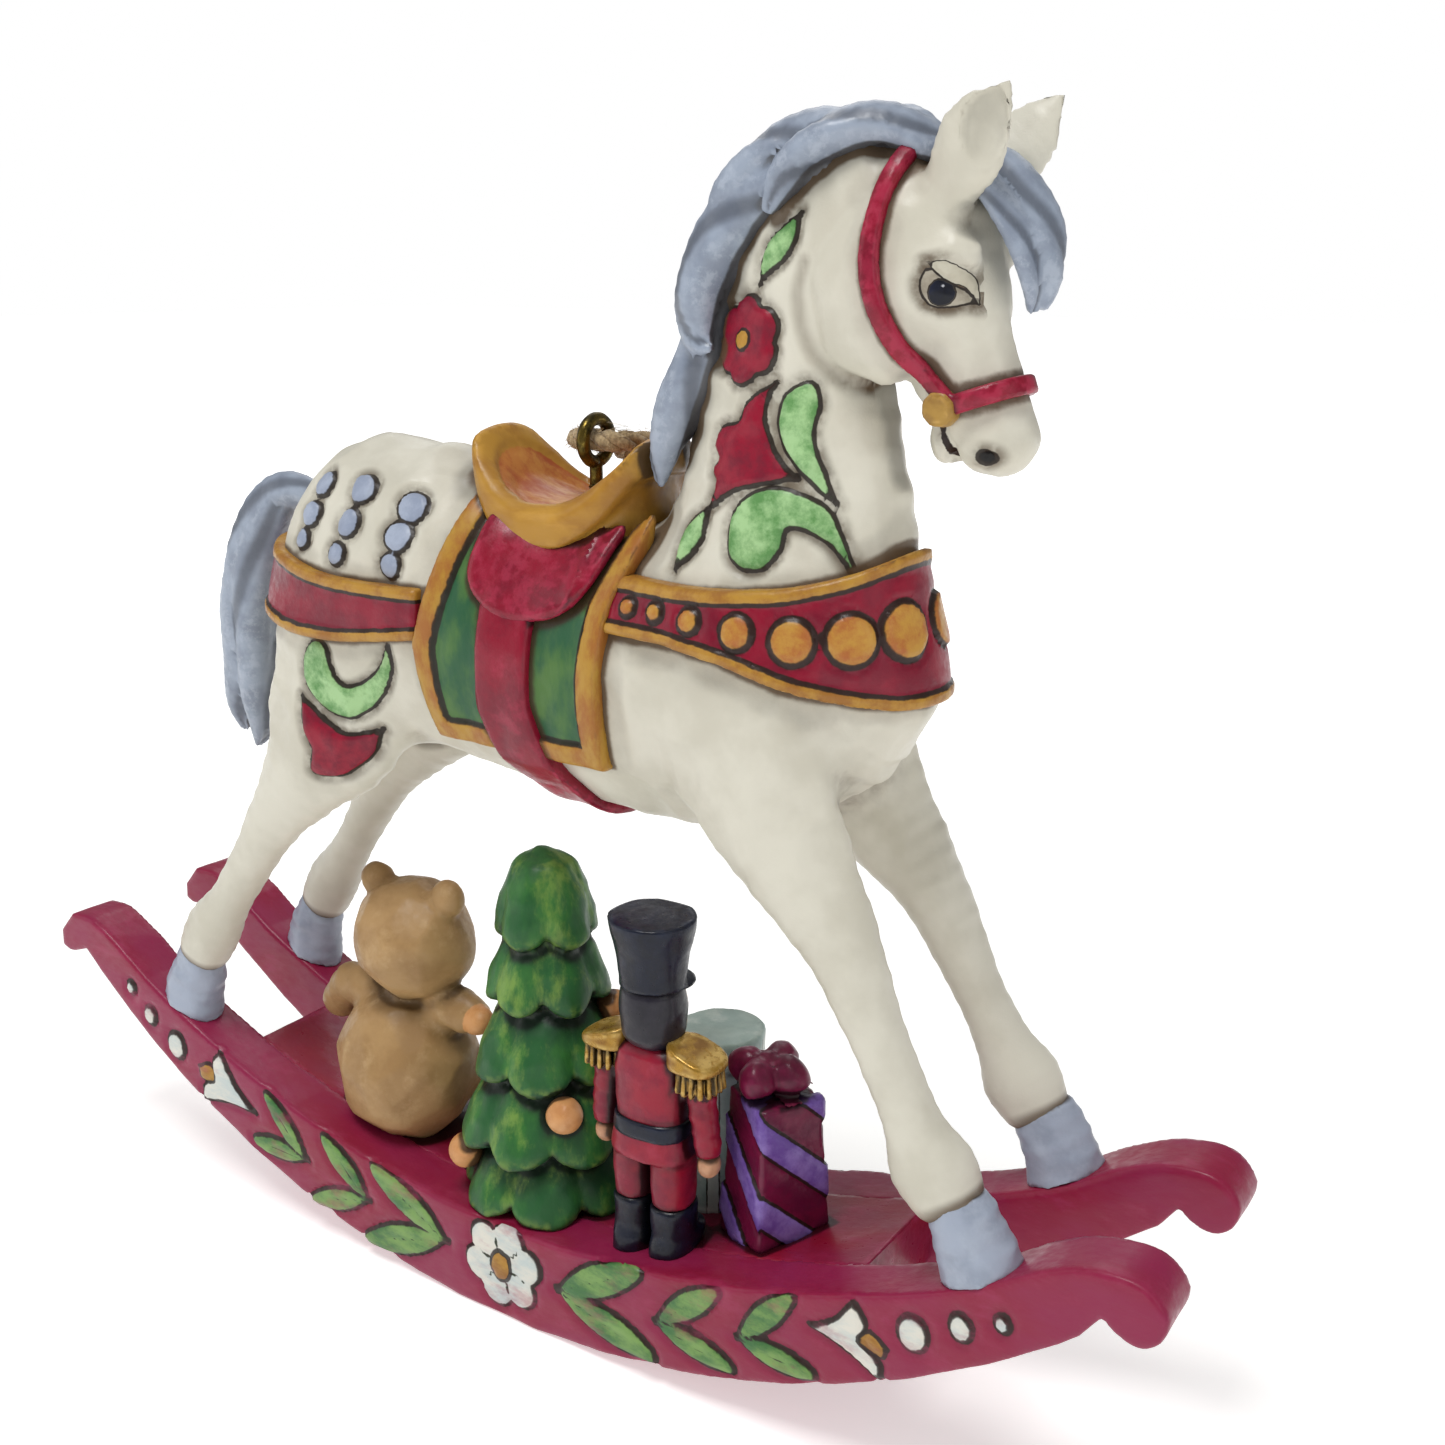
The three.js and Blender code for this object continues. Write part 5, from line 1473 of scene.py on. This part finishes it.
# ---------- screw eye and twine ----------
def sweep(path, radius, sides):
    """Points and faces of a tube. radius may be one number or one for each point."""
    path = np.asarray(path, float)
    n = len(path)
    radius = np.broadcast_to(np.asarray(radius, float), n)
    tangent = np.gradient(path, axis=0)
    tangent /= np.linalg.norm(tangent, axis=1)[:, None]
    normal = np.cross(tangent[0], (0.3, 0.2, 0.93))
    turn = np.linspace(0, 2 * np.pi, sides, endpoint=False)[:, None]
    pts = []
    for i in range(n):
        normal = normal - tangent[i] * (tangent[i] @ normal)
        normal /= np.linalg.norm(normal)
        other = np.cross(tangent[i], normal)
        pts.append(path[i] + radius[i] * (np.cos(turn) * normal + np.sin(turn) * other))
    faces = []
    for a in range(0, (n - 1) * sides, sides):
        faces += [[a + j, a + (j + 1) % sides, a + sides + (j + 1) % sides, a + sides + j]
                  for j in range(sides)]
    faces += [list(range(sides))[::-1], [(n - 1) * sides + j for j in range(sides)]]
    return np.concatenate(pts), faces


def joined(tubes):
    """One mesh of several: its points and faces."""
    faces, base = [], 0
    for pts, some in tubes:
        faces += [[i + base for i in face] for face in some]
        base += len(pts)
    return np.concatenate([pts for pts, _ in tubes]), faces


def metal(name):
    m = Nodes(name)
    colour = m.mix(m.step(m.noise(0.9, 5.0), 0.35, 0.65), "6e5c26", "3a3218")
    colour = m.mix(m.step(m.noise(2.5, 4.0), 0.55, 0.75, 0.0, 0.5), colour, "94803f")
    rough = m.step(m.noise(1.8, 4.0), 0.3, 0.7, 0.24, 0.5)
    return m.surface(colour, rough, (m.noise(4.0, 3.0), 0.3, 0.00005), {"Metallic": 0.9})


EYE_X, EYE_Z, RING = 5.6, 83.3, 1.85
shank = [(EYE_X, 0, z) for z in np.linspace(74.0, EYE_Z - RING - 0.35, 16)]
ring = [(EYE_X + 0.12 * math.sin(a / 2), RING * math.sin(a), EYE_Z - RING * math.cos(a))
        for a in np.linspace(0.12, 2 * math.pi - 0.1, 48)]
BRONZE = metal("aged_bronze")
mesh_piece("screw_eye", *sweep(shank + ring, 0.58, 12), "figure", "bronze", ["screw_eye"], BRONZE)
thread = [(EYE_X + 0.55 * math.cos(a), 0.55 * math.sin(a), 74.5 + a * 0.85 / (2 * math.pi))
          for a in np.linspace(0, 2 * math.pi * 6.5, 160)]
mesh_piece("screw_thread", *sweep(thread, 0.16, 6), "figure", "bronze", [], BRONZE)

TWINE_D, LAY = 2.0, 5.2  # thickness, and the length of one turn of a strand
LEG = [(1.5, 0.1, 83.3), (2.8, 1.1, 83.2), (3.1, 3.4, 83.0), (3.1, 6.4, 82.4), (3.1, 9.4, 80.6),
       (3.1, 11.8, 77.2), (2.9, 13.2, 72.0), (2.4, 13.7, 67.0), (1.8, 13.8, 62.4), (1.2, 13.8, 58.2)]
route = resample([(EYE_X - x, y, z) for x, y, z in LEG[::-1]] + [(EYE_X + x, y, z) for x, y, z in LEG], 10)


def jute(name):
    m = Nodes(name)
    fibre = m.noise(3.2, 5.0, m.scaled(1.0, 1.0, 0.35), 0.7)
    colour = m.mix(m.step(fibre, 0.34, 0.66), "8d7552", "c4ab82")
    colour = m.mix(m.step(m.noise(0.6, 3.0), 0.5, 0.7, 0.0, 0.5), colour, "6f5a3e")
    return m.surface(colour, m.step(fibre, 0.3, 0.7, 0.78, 0.95), (fibre, 0.6, 0.00015),
                     {"Sheen Weight": 0.3})


JUTE = jute("jute_twine")


def plies(path, diameter, pitch, count=3, sides=8):
    """Strands laid round a path, as one mesh."""
    path = np.asarray(path, float)
    steps = np.linalg.norm(np.diff(path, axis=0), axis=1)
    along = np.concatenate([[0], np.cumsum(steps)])
    tangent = np.gradient(path, axis=0)
    tangent /= np.linalg.norm(tangent, axis=1)[:, None]
    normal = np.cross(tangent[0], (0.1, 0.9, 0.3))
    frames = []
    for t in tangent:
        normal = normal - t * (t @ normal)
        normal /= np.linalg.norm(normal)
        frames.append((normal.copy(), np.cross(t, normal)))
    tubes = []
    offset, thick = diameter * 0.235, diameter * 0.265
    for k in range(count):
        angle = 2 * np.pi * (along / pitch + k / count)
        strand = np.array([p + offset * (math.cos(a) * f[0] + math.sin(a) * f[1]) for p, a,
                           f in zip(path, angle, frames)])
        lumps = thick * (1 + 0.07 * np.sin(along * 3.1 + k * 2) + 0.05 * rng.normal(size=len(path)))
        tubes.append(sweep(strand, lumps, sides))
    return joined(tubes)


def fuzz(path, count, length, thick=0.035):
    """Loose fibres that stand off the twine."""
    path = np.asarray(path, float)
    tubes = []
    for i in rng.integers(1, len(path) - 1, count):
        t = path[i + 1] - path[i - 1]
        t /= np.linalg.norm(t)
        out = np.cross(t, rng.normal(size=3))
        out /= np.linalg.norm(out)
        start = path[i] + out * 0.75
        bend = rng.normal(size=3) * 0.25
        size = length * rng.uniform(0.4, 1.0)
        line = [start + (out * 0.45 + t * rng.choice((-1, 1)) * 0.8) * s * size + bend * s * s * size
                for s in np.linspace(0, 1, 5)]
        tubes.append(sweep(line, np.linspace(thick, thick * 0.4, 5), 4))
    return joined(tubes)


twine = mesh_piece("twine_loop", *plies(route, TWINE_D, LAY), "twine", "jute", ["twine_loop"], JUTE)
hairs = mesh_piece("twine_fuzz", *fuzz(route, 420, 1.3), "twine", "jute", [], JUTE)
KNOT = np.array([EYE_X, 13.7, 54.6])
turns = [KNOT + np.array([1.55 * math.sin(2 * a) * 0.9 + 0.35 * math.sin(a), 0.75 * math.cos(3 * a),
                          2.0 * math.cos(a) + 0.3 * math.sin(2 * a)])
         for a in np.linspace(0, 2 * math.pi, 70)]
knot = mesh_piece("twine_knot", *plies(turns, 1.7, 4.0), "twine", "jute", ["twine_knot"], JUTE)
ends = []
for s in (-1, 1):
    top = route[-1] if s > 0 else route[0]
    for line in ([KNOT + (s * 0.4, 0, -1.6), KNOT + (s * 0.9, 0.2, -3.0), KNOT + (s * 1.3, 0.1, -4.6)],
                 [top, top * 0.5 + KNOT * 0.5 + (s * 0.2, 0, 0.3), KNOT + (s * 0.5, 0, 0.6)]):
        ends.append(plies(resample(line, 6), 1.8, LAY))
tails = mesh_piece("twine_ends", *joined(ends), "twine", "jute", [], JUTE)


# ---------- stage ----------
LIGHTS = [  # name, place, size, power
    ("key", (0.0, -0.22, 0.68), 0.25, 2.4), ("fill", (0.55, -0.2, 0.3), 0.35, 0.35),
    ("back", (-0.3, 0.45, 0.5), 0.4, 0.7), ("left", (-0.5, -0.35, 0.3), 0.35, 0.45)]
LIT_POINT = (0, 0, 0.055)
WORLD_LIGHT = 0.27  # what the white surroundings light with; the camera sees them at 1
FLOOR_GLOW = (90.0, 520.0, 0.47,
              1.0)  # from and to these distances in mm, the floor's own light rises so much


def make_stage():
    mesh = bpy.data.meshes.new("floor")
    mesh.from_pydata([(-3, -3, 0), (3, -3, 0), (3, 3, 0), (-3, 3, 0)], [], [(0, 1, 2, 3)])
    floor = bpy.data.objects.new("floor", mesh)
    bpy.context.scene.collection.objects.link(floor)
    m = Nodes("floor_white")
    m.surface(m.mix(m.noise(0.01), "f4f4f2", "f0f0ee"), 0.9, None, {"Emission Color": (1, 1, 1, 1)})
    away = m.add("ShaderNodeVectorMath", {"operation": "LENGTH"}, {0: m.mm}).outputs["Value"]
    m.set(m.shader.inputs["Emission Strength"], m.step(away, *FLOOR_GLOW))
    mesh.materials.append(m.material)
    world = bpy.data.worlds.new("world")
    world.use_nodes = True
    sky_tree = world.node_tree
    sky = sky_tree.nodes["Background"]
    seen = sky_tree.nodes.new("ShaderNodeLightPath").outputs["Is Camera Ray"]
    level = sky_tree.nodes.new("ShaderNodeMapRange")
    level.inputs[3].default_value, level.inputs[4].default_value = WORLD_LIGHT, 1.0
    sky_tree.links.new(seen, level.inputs[0])
    sky_tree.links.new(level.outputs[0], sky.inputs[1])
    sky.inputs[0].default_value = (1, 1, 1, 1)
    bpy.context.scene.world = world
    bpy.context.scene.view_settings.view_transform = "Standard"
    for name, at, size, power in LIGHTS:
        data = bpy.data.lights.new(name, "AREA")
        data.size, data.energy = size, power
        lamp = bpy.data.objects.new(name, data)
        lamp.location = at
        lamp.rotation_mode = "QUATERNION"
        lamp.rotation_quaternion = (Vector(LIT_POINT) - Vector(at)).to_track_quat("-Z", "Y")
        bpy.context.scene.collection.objects.link(lamp)


make_stage()
